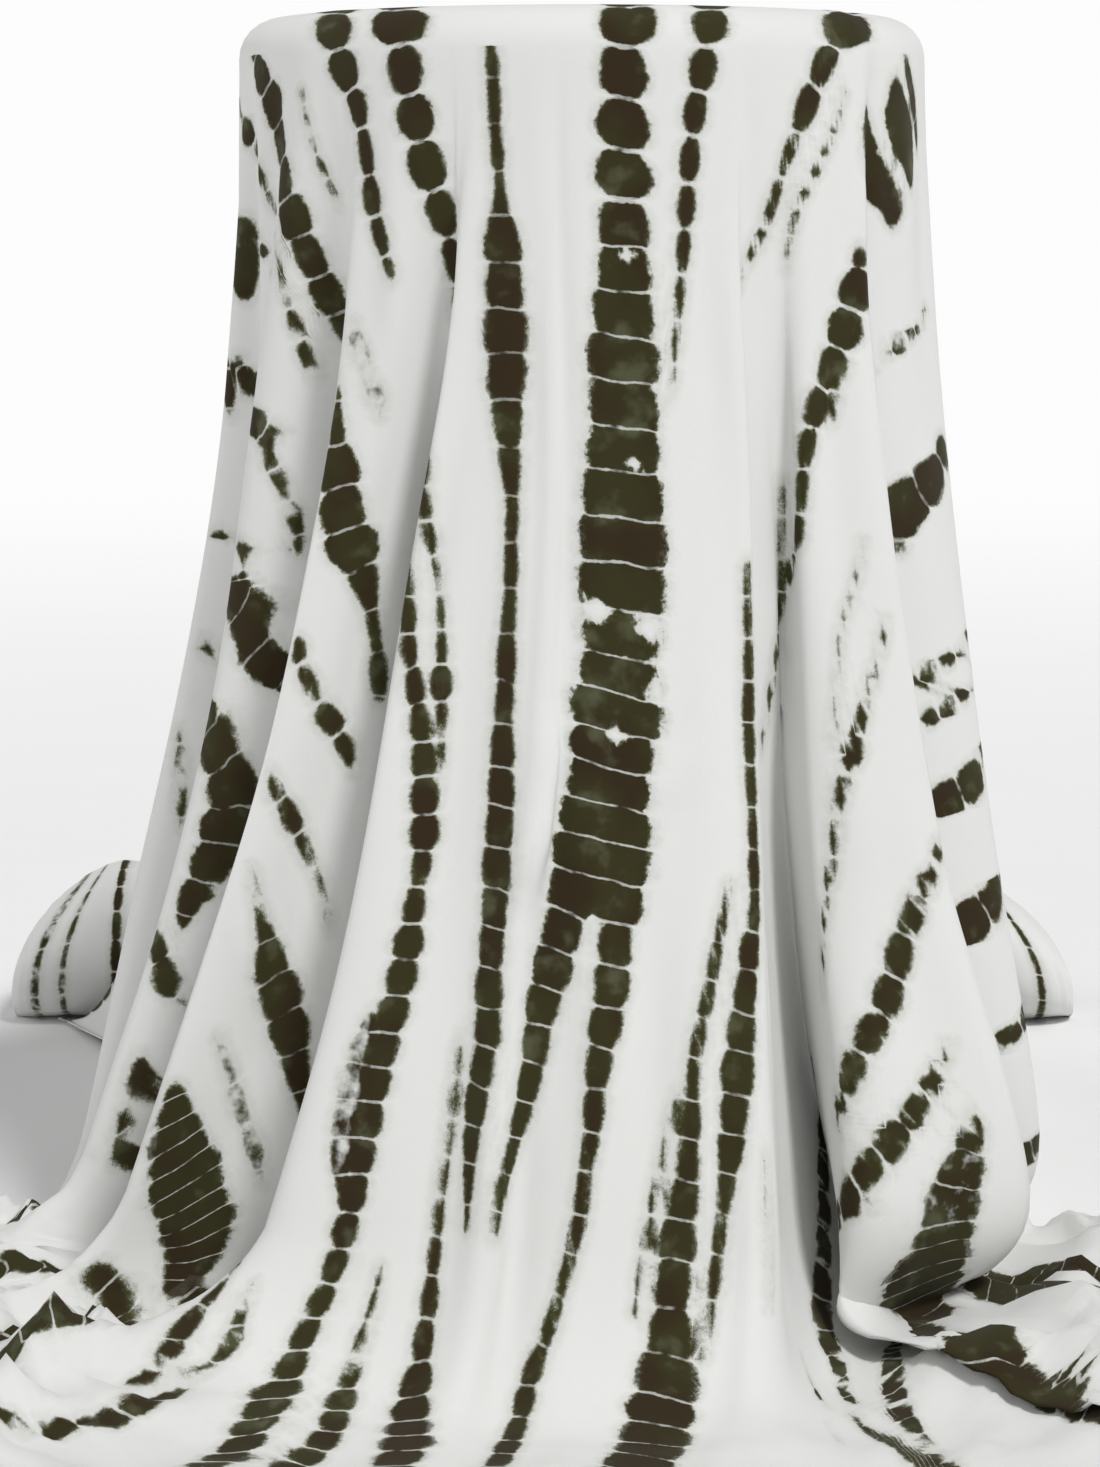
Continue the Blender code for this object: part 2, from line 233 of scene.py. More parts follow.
def round_the_rim(values, in_degrees=False):
    """Catmull-Rom through one column of the table as a closed loop: each span is a cubic in s
    that meets its neighbours with the same slope. Degrees wind on by 360 at the loop's end."""
    wind = 360.0 if in_degrees else 0.0
    count = len(values)
    base = values - wind * np.arange(count) / count
    before, after, beyond = np.roll(base, 1), np.roll(base, -1), np.roll(base, -2)
    s = np.arange(COLUMNS_PER_FOLD)[None, :] / COLUMNS_PER_FOLD
    spans = (
        2 * base[:, None]
        + (after - before)[:, None] * s
        + (2 * before - 5 * base + 4 * after - beyond)[:, None] * s**2
        + (3 * base - before - 3 * after + beyond)[:, None] * s**3
    )
    return spans.ravel() / 2 + wind * np.arange(spans.size) / spans.size


def on_plan(degrees, radius, height):
    """Points from degrees off the front, distance from the middle, and height."""
    turn = np.radians(degrees)
    level = height + 0 * turn
    return np.stack([radius * np.sin(turn), -radius * np.cos(turn), level], axis=-1)


def drape_grid():
    """The sheet as rows of points from the middle of the top out to the hem. The skirt's angle
    is a quadratic and its radius a cubic in the share t of the way down, through the rim, the
    middle and the foot. The floor bend is a cubic Bezier curve drawn towards the foot. A lobe
    bulges out above the floor, and its bend runs straight down, back in under it, and out."""
    table = np.array(FOLDS)
    rim, middle, floor, hem = (round_the_rim(table[:, c], True) for c in (RIM, MIDDLE, FLOOR, HEM))
    middle_r, floor_r, hem_r = (round_the_rim(table[:, c]) for c in (MIDDLE_R, FLOOR_R, HEM_R))
    lift = np.maximum(round_the_rim(table[:, LIFT]), 0)
    hem_lift = np.maximum(round_the_rim(table[:, HEM_LIFT]), 0)
    m = MIDDLE_SHARE
    place = np.arange(len(lift)) / COLUMNS_PER_FOLD
    lobe = sum(share * np.exp(-(((place - fold) / reach) ** 4)) for fold, reach, share in LOBES)

    def skirt(t):
        veer = (floor - rim - (middle - rim) / m) / (1 - m)
        angle = rim + (floor - rim - veer) * t + veer * t**2
        flare = (floor_r - RIM_RADIUS - (middle_r - RIM_RADIUS) / m**2) / (1 - m)
        radius = RIM_RADIUS + (floor_r - RIM_RADIUS - flare) * t**2 + flare * t**3
        low = np.clip((t - LOBE_START) / (BEND_START - LOBE_START), 0, 1)
        bulge = LOBE_BULGE * lobe * low**2 * (3 - 2 * low)
        return on_plan(angle, radius + bulge, (TOP_HEIGHT - RIM_TURN) * (1 - t))

    foot = on_plan(floor, floor_r, 0)
    edge = on_plan(hem, hem_r, 0)
    edge[:, 1] = np.minimum(edge[:, 1], TAIL_Y)

    def spread(w):
        points = foot[None] + (edge - foot)[None] * w[..., None]
        points[..., 2] = FLOOR_HEIGHT + hem_lift * w + lift * (1 - w) ** LIFT_POWER
        return points

    top_r = np.linspace(FIRST_RING, RIM_RADIUS - RIM_TURN, TOP_ROWS, endpoint=False)[:, None]
    top = on_plan(rim + 0 * top_r, top_r, TOP_HEIGHT)
    turn = np.linspace(0, math.pi / 2, TURN_ROWS, endpoint=False)[:, None]
    turn_r = RIM_RADIUS - RIM_TURN * (1 - np.sin(turn))
    turned = on_plan(rim + 0 * turn, turn_r, TOP_HEIGHT - RIM_TURN * (1 - np.cos(turn)))
    hang = skirt(np.linspace(0, BEND_START, SKIRT_ROWS)[:, None])
    start = skirt(np.array([[BEND_START]]))
    corner = spread(np.array([[0.0]]))
    end = spread(np.array([[BEND_END]]))
    tuck = lobe[None, :, None]
    below = (start + 2 * corner) / 3 * (1 - tuck) + start * LOBE_DROP * tuck
    tucked = (end + 2 * corner) / 3 * (1 - tuck) + corner * LOBE_TUCK * tuck
    s = np.linspace(0, 1, BEND_ROWS + 1)[1:, None, None]
    bend = start * (1 - s) ** 3 + 3 * below * s * (1 - s) ** 2
    bend += 3 * tucked * s**2 * (1 - s) + end * s**3
    out = spread(np.linspace(BEND_END, 1, SPREAD_ROWS + 1)[1:, None])
    return np.concatenate([top, turned, hang, bend, out])


sheet = drape_grid()
ROWS, COLUMNS = sheet.shape[:2]


def lengths_on(points):
    """How far each point lies along its own row from the front, each row's full length, and
    how far down from the rim each row lies, as the mean over its columns."""
    apart = np.linalg.norm(np.roll(points, -1, axis=1) - points, axis=2)
    along = np.concatenate([np.zeros((ROWS, 1)), np.cumsum(apart, axis=1)], axis=1)
    steps = np.linalg.norm(np.diff(points, axis=0), axis=2).mean(axis=1)
    down = np.concatenate([[0.0], np.cumsum(steps)])
    return along, down - down[RIM_ROW]


ring_places, down_of_row = lengths_on(sheet)
ROUTE_STEP, ROUTE_POINTS = 0.007, 10
SMOOTHED_OVER = 11
STEEPEST_VEER = 0.94


def smoothed(values):
    """A row of values, each evened out with its neighbours under a bell, with its ends kept."""
    bell = np.hanning(SMOOTHED_OVER)
    padded = np.pad(values, SMOOTHED_OVER // 2, mode="reflect", reflect_type="odd")
    return np.convolve(padded, bell / bell.sum(), "valid")


def beside(path):
    """For a path down the cloth, given as fold and distance down at each point, how far every
    point of the sheet lies to its right, square to it, how far along it, how far past its ends,
    and how far along it each row crosses it. The path is a smoothed broken line."""
    folds, downs = np.array(path)[:, 0], np.array(path)[:, 1]
    count = ROUTE_POINTS + int((downs[-1] - downs[0]) / ROUTE_STEP)
    fine = np.linspace(downs[0], downs[-1], count)
    route = smoothed(np.interp(fine, downs, folds))
    sweep = np.interp(down_of_row, fine, route) * COLUMNS_PER_FOLD
    column = sweep % COLUMNS
    whole = column.astype(int)
    part = column - whole
    row = np.arange(ROWS)
    before, after = ring_places[row, whole], ring_places[row, whole + 1]
    place = before * (1 - part) + after * part
    round_all = ring_places[:, -1:]
    right = (ring_places[:, :-1] - place[:, None] + round_all / 2) % round_all - round_all / 2
    left_point, right_point = sheet[row, whole], sheet[row, (whole + 1) % COLUMNS]
    here = left_point * (1 - part)[:, None] + right_point * part[:, None]
    run = np.concatenate([[0.0], np.cumsum(np.linalg.norm(np.diff(here, axis=0), axis=1))])
    slope = np.gradient(sweep) * (after - before) / np.maximum(np.gradient(run), 1e-6)
    veer = np.clip(slope, -STEEPEST_VEER, STEEPEST_VEER)
    begin, stop = np.interp((downs[0], downs[-1]), down_of_row, run)
    past = np.maximum(0, np.maximum(begin - run, run - stop))
    square = right * np.sqrt(1 - veer**2)[:, None]
    return square, (run - begin)[:, None] + right * veer[:, None], past, run - begin


def outward(points):
    """The direction square to the sheet at each point, away from the stand."""
    across = np.roll(points, -1, axis=1) - np.roll(points, 1, axis=1)
    along = np.gradient(points, axis=0)
    square = np.cross(along, across)
    square /= np.maximum(np.linalg.norm(square, axis=2, keepdims=True), 1e-9)
    return square


CREASES = (
    # fold and distance down in mm at the start and at the end, width and height in mm; a height
    # less than 0 is a trough
    (26.9, 460, 27.6, 600, 16, 4), (29.6, 550, 28.4, 660, 20, -4), (14.6, 20, 14.2, 200, 20, -6),
    (15.6, 10, 15.2, 180, 18, 5), (17.2, 30, 17, 170, 16, -4), (12.6, 30, 12.9, 220, 20, -6),
    (19.4, 40, 20.6, 340, 24, 4), (36.4, 0, 36.6, 220, 16, 7), (37.4, 0, 37.4, 240, 16, -8),
    (38.6, 20, 38.8, 200, 20, 5), (33, 100, 32.6, 420, 26, -5), (18.8, 620, 19.2, 900, 14, -4),
    (20.4, 620, 20, 980, 20, 4), (24.8, 300, 24.4, 900, 30, -4), (29.4, 200, 29.8, 800, 34, 3),
    (35.4, 600, 35.8, 980, 20, 5), (16.2, 600, 16.4, 950, 18, 4), (15.9, 160, 15.9, 660, 26, -30),
    (15.8, 560, 15.9, 1020, 30, -40), (20.9, 220, 20.9, 700, 28, -30), (20.9, 600, 21, 1020, 30, -36),
    (31.45, 460, 31.45, 1060, 18, -14), (26.95, 540, 26.5, 620, 12, 11), (26.6, 600, 25.9, 700, 12, 12),
    (29.8, 560, 28.3, 650, 13, 7), (18.5, 720, 19.4, 860, 10, 8),
)
CREASE_BLUNT, CREASE_SPAN = 0.08, 0.84
CREASE_PAST = 0.05

# Millimetres in a metre
MM = 1000

# The slow waves, and where down the cloth they are: begin, rise, end and fall, in metres
WAVES, WAVE_HEIGHT, WAVE_SWAY = 26, 0.0011, 1.6
HANGING = (0.0, 0.25, 1.25, 0.25)


def faded(values, begin, rise, end, fall):
    """1 inside a range, and straight down to 0 over its rise and its fall at the two ends."""
    return np.clip((values - begin) / rise, 0, 1) * np.clip((end - values) / fall, 0, 1)


def creased(points):
    """The sheet with its lesser creases, each a soft bell across its line that dies away at
    both ends, and a slow unevenness from a few seeded waves that run mostly downwards."""
    lift = np.zeros(points.shape[:2])
    for first, top, last, foot, width, height in np.array(CREASES) / (1, MM, 1, MM, MM, MM):
        right, _, past, run = beside([(first, top), (last, foot)])
        middle = np.clip(run / abs(foot - top), 0, 1)
        fade = np.sin(math.pi * np.clip(CREASE_BLUNT + CREASE_SPAN * middle, 0, 1))
        fade *= np.exp(-((past / CREASE_PAST) ** 2))
        lift += height * fade[:, None] * np.exp(-((right / width) ** 2))
    rng = np.random.default_rng(7)
    turn = 2 * math.pi * np.arange(COLUMNS) / COLUMNS
    waves = np.zeros(points.shape[:2])
    for _ in range(WAVES):
        round_count = rng.integers(9, 46)
        slow = rng.uniform(2.0, 9.0)
        start = rng.uniform(0, 2 * math.pi)
        veer = rng.uniform(0, 2 * math.pi)
        sway = WAVE_SWAY * np.sin(slow * down_of_row[:, None] + veer)
        waves += np.sin(round_count * turn[None, :] + start + sway) * rng.uniform(0.3, 1.0)
    lift += WAVE_HEIGHT * waves * faded(down_of_row, *HANGING)[:, None]
    return points + outward(points) * lift[..., None]


LARGE_BUCKLES, SMALL_BUCKLES = 9, 8
BUCKLE_LENGTHS = (0.16, 0.42)
BUCKLE_HEIGHT, MORE_AT_SIDES = 0.008, 0.016
BUCKLE_SWAY, BUCKLE_SWAYS, SWAY_ASKEW = 0.06, 5.0, 1.3
SMALL_LENGTH, SMALL_HEIGHT = 0.38, 0.42
SIDES_FROM, SIDES_OVER = 0.22, 0.2
BACK_FROM, BACK_OVER = 0.55, 0.3
ON_FLOOR = (1.02, 0.16, 1.42, 0.14)


def rumpled(points):
    """The floor's buckles: narrow ridges from folded seeded waves, raised where the cloth has
    room to buckle between its foot and its hem, and never below the floor. The small ones are
    at the sides alone."""
    rng = np.random.default_rng(21)
    x, y = points[..., 0], points[..., 1]
    sides = np.clip((np.abs(x) - SIDES_FROM) / SIDES_OVER, 0, 1)
    ridges = np.zeros(points.shape[:2])
    for number in range(LARGE_BUCKLES + SMALL_BUCKLES):
        small = number >= LARGE_BUCKLES
        way = rng.uniform(0, 2 * math.pi)
        wavelength = rng.uniform(*BUCKLE_LENGTHS) * (SMALL_LENGTH if small else 1.0)
        start = rng.uniform(0, 2 * math.pi)
        skew = way + SWAY_ASKEW
        bent = np.sin(BUCKLE_SWAYS * (x * math.cos(skew) + y * math.sin(skew)) + start)
        across = x * math.cos(way) + y * math.sin(way) + BUCKLE_SWAY * bent
        wave = np.abs(np.sin(math.pi * across / wavelength + start))
        height = rng.uniform(0.4, 1.0) * (SMALL_HEIGHT * sides if small else 1.0)
        ridges += (1 - wave) ** 3 * height
    ridges *= faded(down_of_row, *ON_FLOOR)[:, None] * np.clip((BACK_FROM - y) / BACK_OVER, 0, 1)
    points = points.copy()
    points[..., 2] += (BUCKLE_HEIGHT + MORE_AT_SIDES * sides) * ridges
    points[..., 2] = np.maximum(points[..., 2], FLOOR_HEIGHT)
    return points


sheet = rumpled(creased(sheet))


# The dye: the cloth was pleated lengthwise, bound at even steps and dipped, so dark olive
# columns run down it, crossed by the pale lines that the binding kept. Narrow columns are
# strings of beads, and wide ones are stacks of bars.

DYE_COLUMNS = (
    # name; how beaded, how clear its lines, how strong, length of one block in mm, and how
    # far its blocks slant; then its way, as fold, distance down in mm and width in mm
    ("left_shoulder", 0.5, 0.7, 1, 36, 0, (13.3, 5, 34), (14.2, 26, 40), (14.45, 55, 32),
     (14.95, 95, 40), (15.2, 125, 36), (15.45, 162, 30), (15.6, 194, 28), (15.75, 225, 24),
     (15.9, 250, 14)),
    ("left_shoulder: in front", 0.4, 0.8, 1, 36, 0, (18, 275, 6), (18.15, 305, 18), (18.4, 333, 29),
     (18.6, 362, 42), (18.8, 397, 48), (19.2, 423, 37), (19.5, 447, 25), (19.75, 480, 9),
     (19.9, 510, 16), (19.95, 540, 14)),
    ("left_shoulder_spots", 0.9, 1, 0.6, 22, 0, (15.5, 30, 9), (15.6, 50, 6), (15.7, 80, 5),
     (15.8, 100, 8), (16, 125, 8)),
    ("left_stains", 0.6, 0.3, 0.36, 38, 0, (18.4, 225, 8), (18.55, 244, 20), (18.9, 262, 8),
     (19.25, 283, 17), (19.4, 300, 8)),
    ("left_shoulder_under", 0.8, 1, 1, 30, 0, (10.75, 34, 14), (12.25, 68, 24), (13.7, 100, 14),
     (14.05, 130, 5), (15.1, 162, 5), (15.15, 194, 7), (15.3, 215, 12), (15.4, 241, 14),
     (15.5, 270, 12)),
    ("left_flank_spots", 0.9, 1, 1, 20, 0, (13.4, 157, 12), (13.7, 170, 17), (14.75, 183, 9)),
    ("left_rim_patch", 0.1, 0.2, 1, 80, 0, (12.1, 157, 40), (12.1, 178, 45), (12.3, 200, 24),
     (12.5, 210, 5)),
    ("left_flank", 0.6, 0.9, 1, 30, 0, (12.35, 267, 18), (12.55, 288, 26), (14.9, 307, 29),
     (15.1, 333, 10), (15.2, 354, 18), (15.35, 375, 11), (15.4, 397, 17), (15.45, 423, 12)),
    ("left_flank_back", 0.4, 0.9, 1, 34, 0, (12, 275, 27), (12.1, 294, 23), (12.3, 312, 6)),
    ("left_side", 0.2, 0.6, 1, 36, 0, (12.2, 420, 14), (12.3, 434, 23), (14.6, 452, 40),
     (15.05, 471, 26), (15.2, 500, 30), (15.3, 520, 41), (15.45, 540, 34), (15.6, 560, 20)),
    ("left_side: string", 0.8, 1, 1, 36, 0, (12.3, 394, 10), (14.6, 407, 13), (14.95, 423, 11),
     (15.05, 442, 6)),
    ("left_side_low", 0.3, 0.6, 1, 36, 0, (12.2, 516, 9), (12.3, 543, 15), (14.75, 562, 44),
     (15.05, 591, 28), (15.2, 620, 38), (15.28, 645, 48), (15.25, 670, 54), (15.22, 695, 50),
     (15.2, 720, 38), (15.15, 740, 30), (15.1, 760, 14)),
    ("left_back_string", 0.7, 1, 0.9, 34, 0, (12.1, 600, 6), (12.2, 630, 11), (12.25, 660, 12),
     (12.3, 690, 8)),
    ("left_back_low", 0.5, 0.9, 1, 36, 0, (14.9, 765, 8), (15, 785, 24), (15.1, 805, 20),
     (15.2, 825, 20), (15.25, 845, 10)),
    ("left_low_bead", 0.3, 0, 1, 80, 0, (15.1, 885, 16), (15.18, 905, 32), (15.25, 930, 16)),
    ("left_foot", 0.15, 1, 1, 20, 0.14, (18.3, 880, 12), (18.4, 900, 28), (18.5, 925, 42),
     (18.6, 945, 54), (18.7, 970, 62), (18.8, 1000, 66), (18.95, 1025, 56), (19.05, 1055, 42),
     (19.15, 1090, 18)),
    ("left_hanging", 0.4, 0.9, 1, 34, 0, (18.35, 1067, 9), (18.6, 1096, 17), (19.15, 1136, 13),
     (20.2, 1200, 9)),
    ("left_behind", 0.5, 0.6, 1, 34, 0, (15.1, 925, 6), (15.15, 950, 12), (15.2, 975, 20),
     (15.5, 1005, 30), (15.8, 1030, 16)),
    ("left_face_beads", 0.9, 1, 1, 34, 0, (18.3, 487, 8), (18.5, 516, 18), (18.8, 536, 9),
     (19.1, 556, 26), (19.55, 586, 14), (19.65, 604, 6)),
    ("left_face_low", 0.6, 0.9, 0.9, 33, 0, (18.35, 600, 4), (18.7, 632, 16), (19, 661, 15),
     (19.3, 686, 9), (19.45, 702, 7), (19.7, 743, 6)),
    ("left_face_stains", 0.6, 0.9, 0.5, 40, 0, (18.6, 835, 10), (18.8, 865, 8), (18.95, 895, 12),
     (19.2, 925, 10), (19.4, 955, 12), (19.5, 975, 6)),
    ("left_knee", 0.25, 0.5, 1, 34, 0, (18.45, 683, 4), (18.7, 724, 8), (18.9, 756, 26),
     (19.05, 784, 36), (19.3, 814, 31), (19.45, 841, 29), (19.6, 869, 19), (19.8, 905, 13),
     (20.1, 945, 10), (20.3, 985, 9), (20.5, 1030, 8)),
    ("left_front", 0.6, 0.9, 0.97, 30, 0, (22.8, 420, 5), (22.9, 442, 9), (23.2, 480, 13),
     (23.6, 525, 16), (23.9, 565, 22), (24.1, 615, 27), (24.2, 640, 30), (24.2, 670, 17),
     (24.2, 705, 16), (24.2, 730, 30), (24.2, 765, 27), (24.1, 820, 26), (24.1, 930, 27),
     (24.1, 1000, 23), (24.1, 1060, 21), (24.2, 1095, 25), (24.4, 1140, 33), (24.6, 1177, 28),
     (24.75, 1205, 32), (25.1, 1420, 26)),
    ("left_front: faint half", 0.3, 0.9, 0.5, 30, 0, (23.9, 800, 18), (23.85, 840, 26),
     (23.85, 890, 26), (23.9, 930, 14)),
    ("left_front: beads", 0.85, 1, 0.9, 30, 0, (22.8, 330, 5), (22.85, 366, 9), (23.4, 400, 10),
     (23.8, 440, 5), (24, 484, 11), (24.1, 522, 20), (24.2, 551, 9), (24.3, 590, 7)),
    ("left_collar", 0.8, 1, 1, 36, 0, (16.9, -20, 38), (17.3, 20, 34), (18, 50, 20), (18.4, 90, 14),
     (18.7, 130, 22), (19.3, 170, 14), (19.6, 190, 6)),
    ("left_beads", 0.9, 1, 1, 40, 0, (19.3, -30, 34), (19.8, 20, 33), (20.15, 60, 38), (20.5, 110, 32),
     (20.85, 150, 23), (21.15, 190, 15), (21.35, 230, 9)),
    ("left_of_middle", 0.28, 0.6, 1, 37, -0.12, (23.7, 0, 9), (23.9, 20, 12), (24.2, 80, 13),
     (24.4, 115, 9), (24.45, 140, 24), (24.6, 165, 33), (24.8, 245, 35), (24.9, 287, 32), (25, 315, 24),
     (25.2, 365, 12), (25.3, 450, 12), (25.3, 485, 15), (25.35, 545, 19)),
    ("left_of_middle: below", 0.28, 0.8, 1, 32, -0.12, (25.35, 545, 19), (25.4, 600, 25),
     (25.5, 680, 30), (25.5, 750, 26), (25.6, 810, 27), (25.5, 865, 25), (25.5, 900, 19),
     (25.55, 930, 11), (25.6, 965, 6)),
    ("left_of_middle: narrow", 0.5, 0.8, 1, 32, -0.12, (25.1, 810, 6), (25.1, 860, 9), (25.1, 900, 8),
     (25.1, 933, 10), (25.1, 967, 12), (25.15, 1000, 11), (25.2, 1037, 19), (25.3, 1073, 22),
     (25.45, 1110, 36), (25.9, 1170, 44), (26.3, 1420, 40)),
    ("left_front: second", 0.6, 0.9, 0.95, 30, 0, (24.55, 1000, 6), (24.6, 1030, 8), (24.6, 1060, 11),
     (24.65, 1090, 16), (24.8, 1126, 22), (25.05, 1170, 24), (25.5, 1420, 20)),
    ("middle", 0.8, 1, 1, 41, -0.13, (28.2, -20, 33), (28.2, 0, 40), (28.2, 100, 45), (28.2, 140, 42)),
    ("middle: body", 0.2, 1, 1, 36, -0.15, (28.2, 130, 30), (28.2, 166, 46), (28.2, 200, 54),
     (28.2, 290, 57), (28.2, 325, 61), (28.2, 400, 68), (28.2, 490, 74)),
    ("middle: body below", 0.2, 1, 1, 29, -0.15, (28.2, 488, 74), (28.1, 556, 76), (28, 615, 80),
     (27.9, 670, 80)),
    ("middle: left leg", 0.3, 1, 1, 32, -0.15, (27.5, 660, 36), (27.4, 700, 42), (27.2, 730, 40),
     (27.1, 756, 34), (26.9, 782, 28), (26.8, 820, 22), (26.6, 865, 22), (26.4, 895, 18),
     (26.2, 920, 15), (26.1, 945, 9), (26.1, 970, 5)),
    ("middle: right leg", 0.4, 0.9, 1, 34, -0.15, (28.4, 660, 36), (28.3, 690, 36), (28.2, 740, 32),
     (28.2, 770, 28), (28.1, 800, 25), (28, 830, 19), (28, 890, 16), (27.9, 912, 14), (27.9, 947, 17),
     (27.8, 973, 15), (27.7, 1010, 12), (27.6, 1042, 16), (27.4, 1074, 20), (27.4, 1200, 24),
     (27.4, 1420, 26)),
    ("right_beads", 0.95, 1, 1, 37, 0, (30.4, -30, 26), (30.2, 10, 23), (29.9, 50, 21), (29.7, 100, 18),
     (29.6, 140, 15), (29.4, 210, 10), (29.3, 240, 7), (29.2, 280, 5)),
    ("right_collar", 0.8, 1, 1, 42, 0, (35.6, -20, 30), (34.9, 10, 27), (34.45, 45, 23), (33.9, 82, 14),
     (33.3, 120, 12), (32.6, 160, 10), (31.9, 195, 5)),
    ("right_collar_shadow", 0.8, 1, 0.75, 24, 0, (35.55, 35, 4), (35.3, 60, 8), (34.7, 98, 11),
     (34.1, 130, 8), (33.7, 180, 4)),
    ("right_shoulder", 0.75, 1, 0.95, 36, 0, (35.8, 165, 10), (35.7, 190, 26), (35.5, 210, 36),
     (35.3, 238, 34), (34.9, 267, 25), (34.4, 309, 22), (34.2, 336, 14), (34.1, 373, 11),
     (33.9, 410, 15), (33.4, 436, 13), (33.1, 468, 9), (32.75, 503, 9), (32.6, 543, 12),
     (32.4, 590, 8)),
    ("right_shoulder: outer", 0.8, 1, 0.9, 36, 0, (35.25, 262, 9), (35.05, 288, 8), (34.9, 312, 6)),
    ("right_shoulder: inner", 0.7, 1, 0.85, 36, 0, (33.3, 357, 4), (33.25, 380, 5), (33.2, 410, 5),
     (33.15, 440, 3)),
    ("right_edge", 0.35, 0.9, 1, 33, -0.12, (30.95, 418, 5), (30.9, 455, 9), (30.9, 492, 9),
     (30.8, 532, 12), (30.8, 570, 12), (30.8, 640, 11), (30.8, 704, 15), (30.6, 745, 21),
     (30.5, 781, 23), (30.4, 817, 28), (30.3, 860, 28), (30.25, 890, 25), (30.2, 913, 17),
     (30.1, 947, 12), (30, 1000, 13), (29.95, 1037, 9), (29.9, 1070, 7)),
    ("right_front", 0.3, 0.9, 1, 33, -0.16, (30.25, 683, 6), (30.1, 713, 10), (29.9, 753, 12),
     (29.6, 817, 13), (29.55, 852, 13), (29.55, 894, 17), (29.5, 930, 21), (29.4, 965, 28),
     (29.4, 1000, 32), (29.4, 1035, 34), (29.4, 1067, 44), (29.35, 1100, 52), (29.2, 1157, 58),
     (28.9, 1200, 62), (28.6, 1420, 56)),
    ("right_front: beads", 0.9, 1, 1, 33, -0.16, (29.35, 850, 6), (29.15, 894, 6), (29.05, 930, 8),
     (28.95, 965, 9), (28.9, 994, 9), (28.85, 1030, 6)),
    ("edge_line", 0.5, 1, 0.9, 37, 0, (30.9, 900, 4), (30.9, 940, 6), (30.95, 1000, 6),
     (30.95, 1040, 4)),
    ("right_inner_faint", 0.8, 1, 0.6, 30, 0, (35.3, 410, 5), (35.1, 450, 6), (34.8, 475, 6),
     (34.6, 540, 4), (34.5, 580, 3)),
    ("right_inner", 0.8, 1, 1, 34, 0, (35.5, 475, 5), (35.3, 514, 9), (35.05, 548, 11), (34.8, 591, 19),
     (34.55, 621, 13), (34.45, 658, 9), (34.4, 683, 12), (34.25, 713, 9), (34.05, 756, 7),
     (33.9, 795, 6)),
    ("right_valley", 0.3, 0.8, 1, 37, 0, (33.3, 870, 8), (33.2, 920, 16), (32.8, 965, 22),
     (32.5, 1020, 30), (32.25, 1070, 36), (32.1, 1100, 34), (32.05, 1130, 30), (31.9, 1156, 24),
     (31.75, 1180, 20), (31.7, 1240, 14), (31.6, 1420, 12)),
    ("right_low", 0.6, 1, 1, 36, 0, (35.8, 672, 12), (35.5, 696, 18), (35.3, 729, 23), (35.05, 764, 25),
     (34.85, 795, 27), (34.65, 820, 28), (34.4, 847, 25), (34.2, 875, 19), (33.95, 905, 14)),
    ("right_low_outer", 0.5, 1, 1, 33, 0, (35.35, 842, 12), (35.15, 868, 18), (34.9, 892, 26),
     (34.6, 915, 28), (34.4, 938, 27), (34.15, 960, 24), (33.9, 990, 20), (33.75, 1015, 12)),
    ("right_lobe", 0.2, 0.9, 0.7, 34, 0.15, (35.4, 905, 14), (35.3, 936, 32), (35.15, 961, 44),
     (35.05, 985, 52), (35, 1005, 60)),
    ("right_lobe: its foot", 0.1, 0.9, 1, 30, 0.15, (35, 1015, 60), (34.95, 1035, 86),
     (35.05, 1060, 92), (35.15, 1090, 80), (35.15, 1120, 40)),
    ("right_top_patch", 0.1, 0, 1, 90, 0, (37.1, 55, 22), (37.3, 75, 36), (37.6, 100, 44),
     (38, 120, 42), (38.4, 137, 22)),
    ("right_top_outer", 0.1, 0, 1, 90, 0, (38.4, 30, 24), (38.7, 55, 54), (38.9, 80, 52),
     (39.1, 105, 22)),
    ("right_rim_edge", 0.2, 0.5, 1, 60, 0, (38.9, 4, 15), (39.4, 30, 20), (39.9, 75, 14)),
    ("right_flank_spots", 0.8, 1, 0.6, 20, 0, (40.1, 215, 8), (39, 240, 24), (38.6, 253, 14),
     (38, 265, 10)),
    ("right_side_patch", 0.5, 0.5, 0.97, 50, 0, (40, 340, 28), (39.4, 362, 58), (38.9, 385, 62),
     (38.5, 407, 42)),
    ("right_side_high", 0.9, 1, 1, 26, 0, (40.4, 500, 8), (39.7, 518, 17), (39.3, 528, 20),
     (38.9, 540, 17), (38.4, 552, 8)),
    ("right_side_next", 0.9, 1, 1, 26, 0, (40.4, 540, 8), (39.7, 557, 17), (39.2, 572, 24),
     (38.7, 586, 14)),
    ("right_side_mid", 0.5, 0.9, 1, 40, 0, (40.6, 600, 12), (39.7, 620, 20), (39.5, 641, 34),
     (39.1, 655, 42), (38.5, 668, 30), (38, 680, 12)),
    ("right_side_low", 0.4, 0.9, 1, 40, 0, (40.6, 715, 12), (39.7, 735, 18), (39.4, 752, 30),
     (39.1, 766, 42), (38.6, 790, 24), (38.2, 800, 10)),
    ("right_side_foot", 0.4, 0.9, 1, 40, 0, (40.2, 845, 10), (39.6, 865, 20), (39.3, 882, 38),
     (38.7, 890, 30), (38.2, 900, 10)),
    ("right_side_last", 0.3, 0.7, 1, 44, 0, (40.2, 965, 14), (39.6, 980, 26), (39.3, 995, 46),
     (38.7, 1000, 30), (38.2, 1010, 10)),
    ("right_floor", 0.4, 1, 1, 34, 0, (33.4, 1090, 14), (33.2, 1115, 34), (32.5, 1145, 28),
     (32.2, 1180, 36), (32, 1210, 30), (31.9, 1260, 24), (31.8, 1420, 20)),
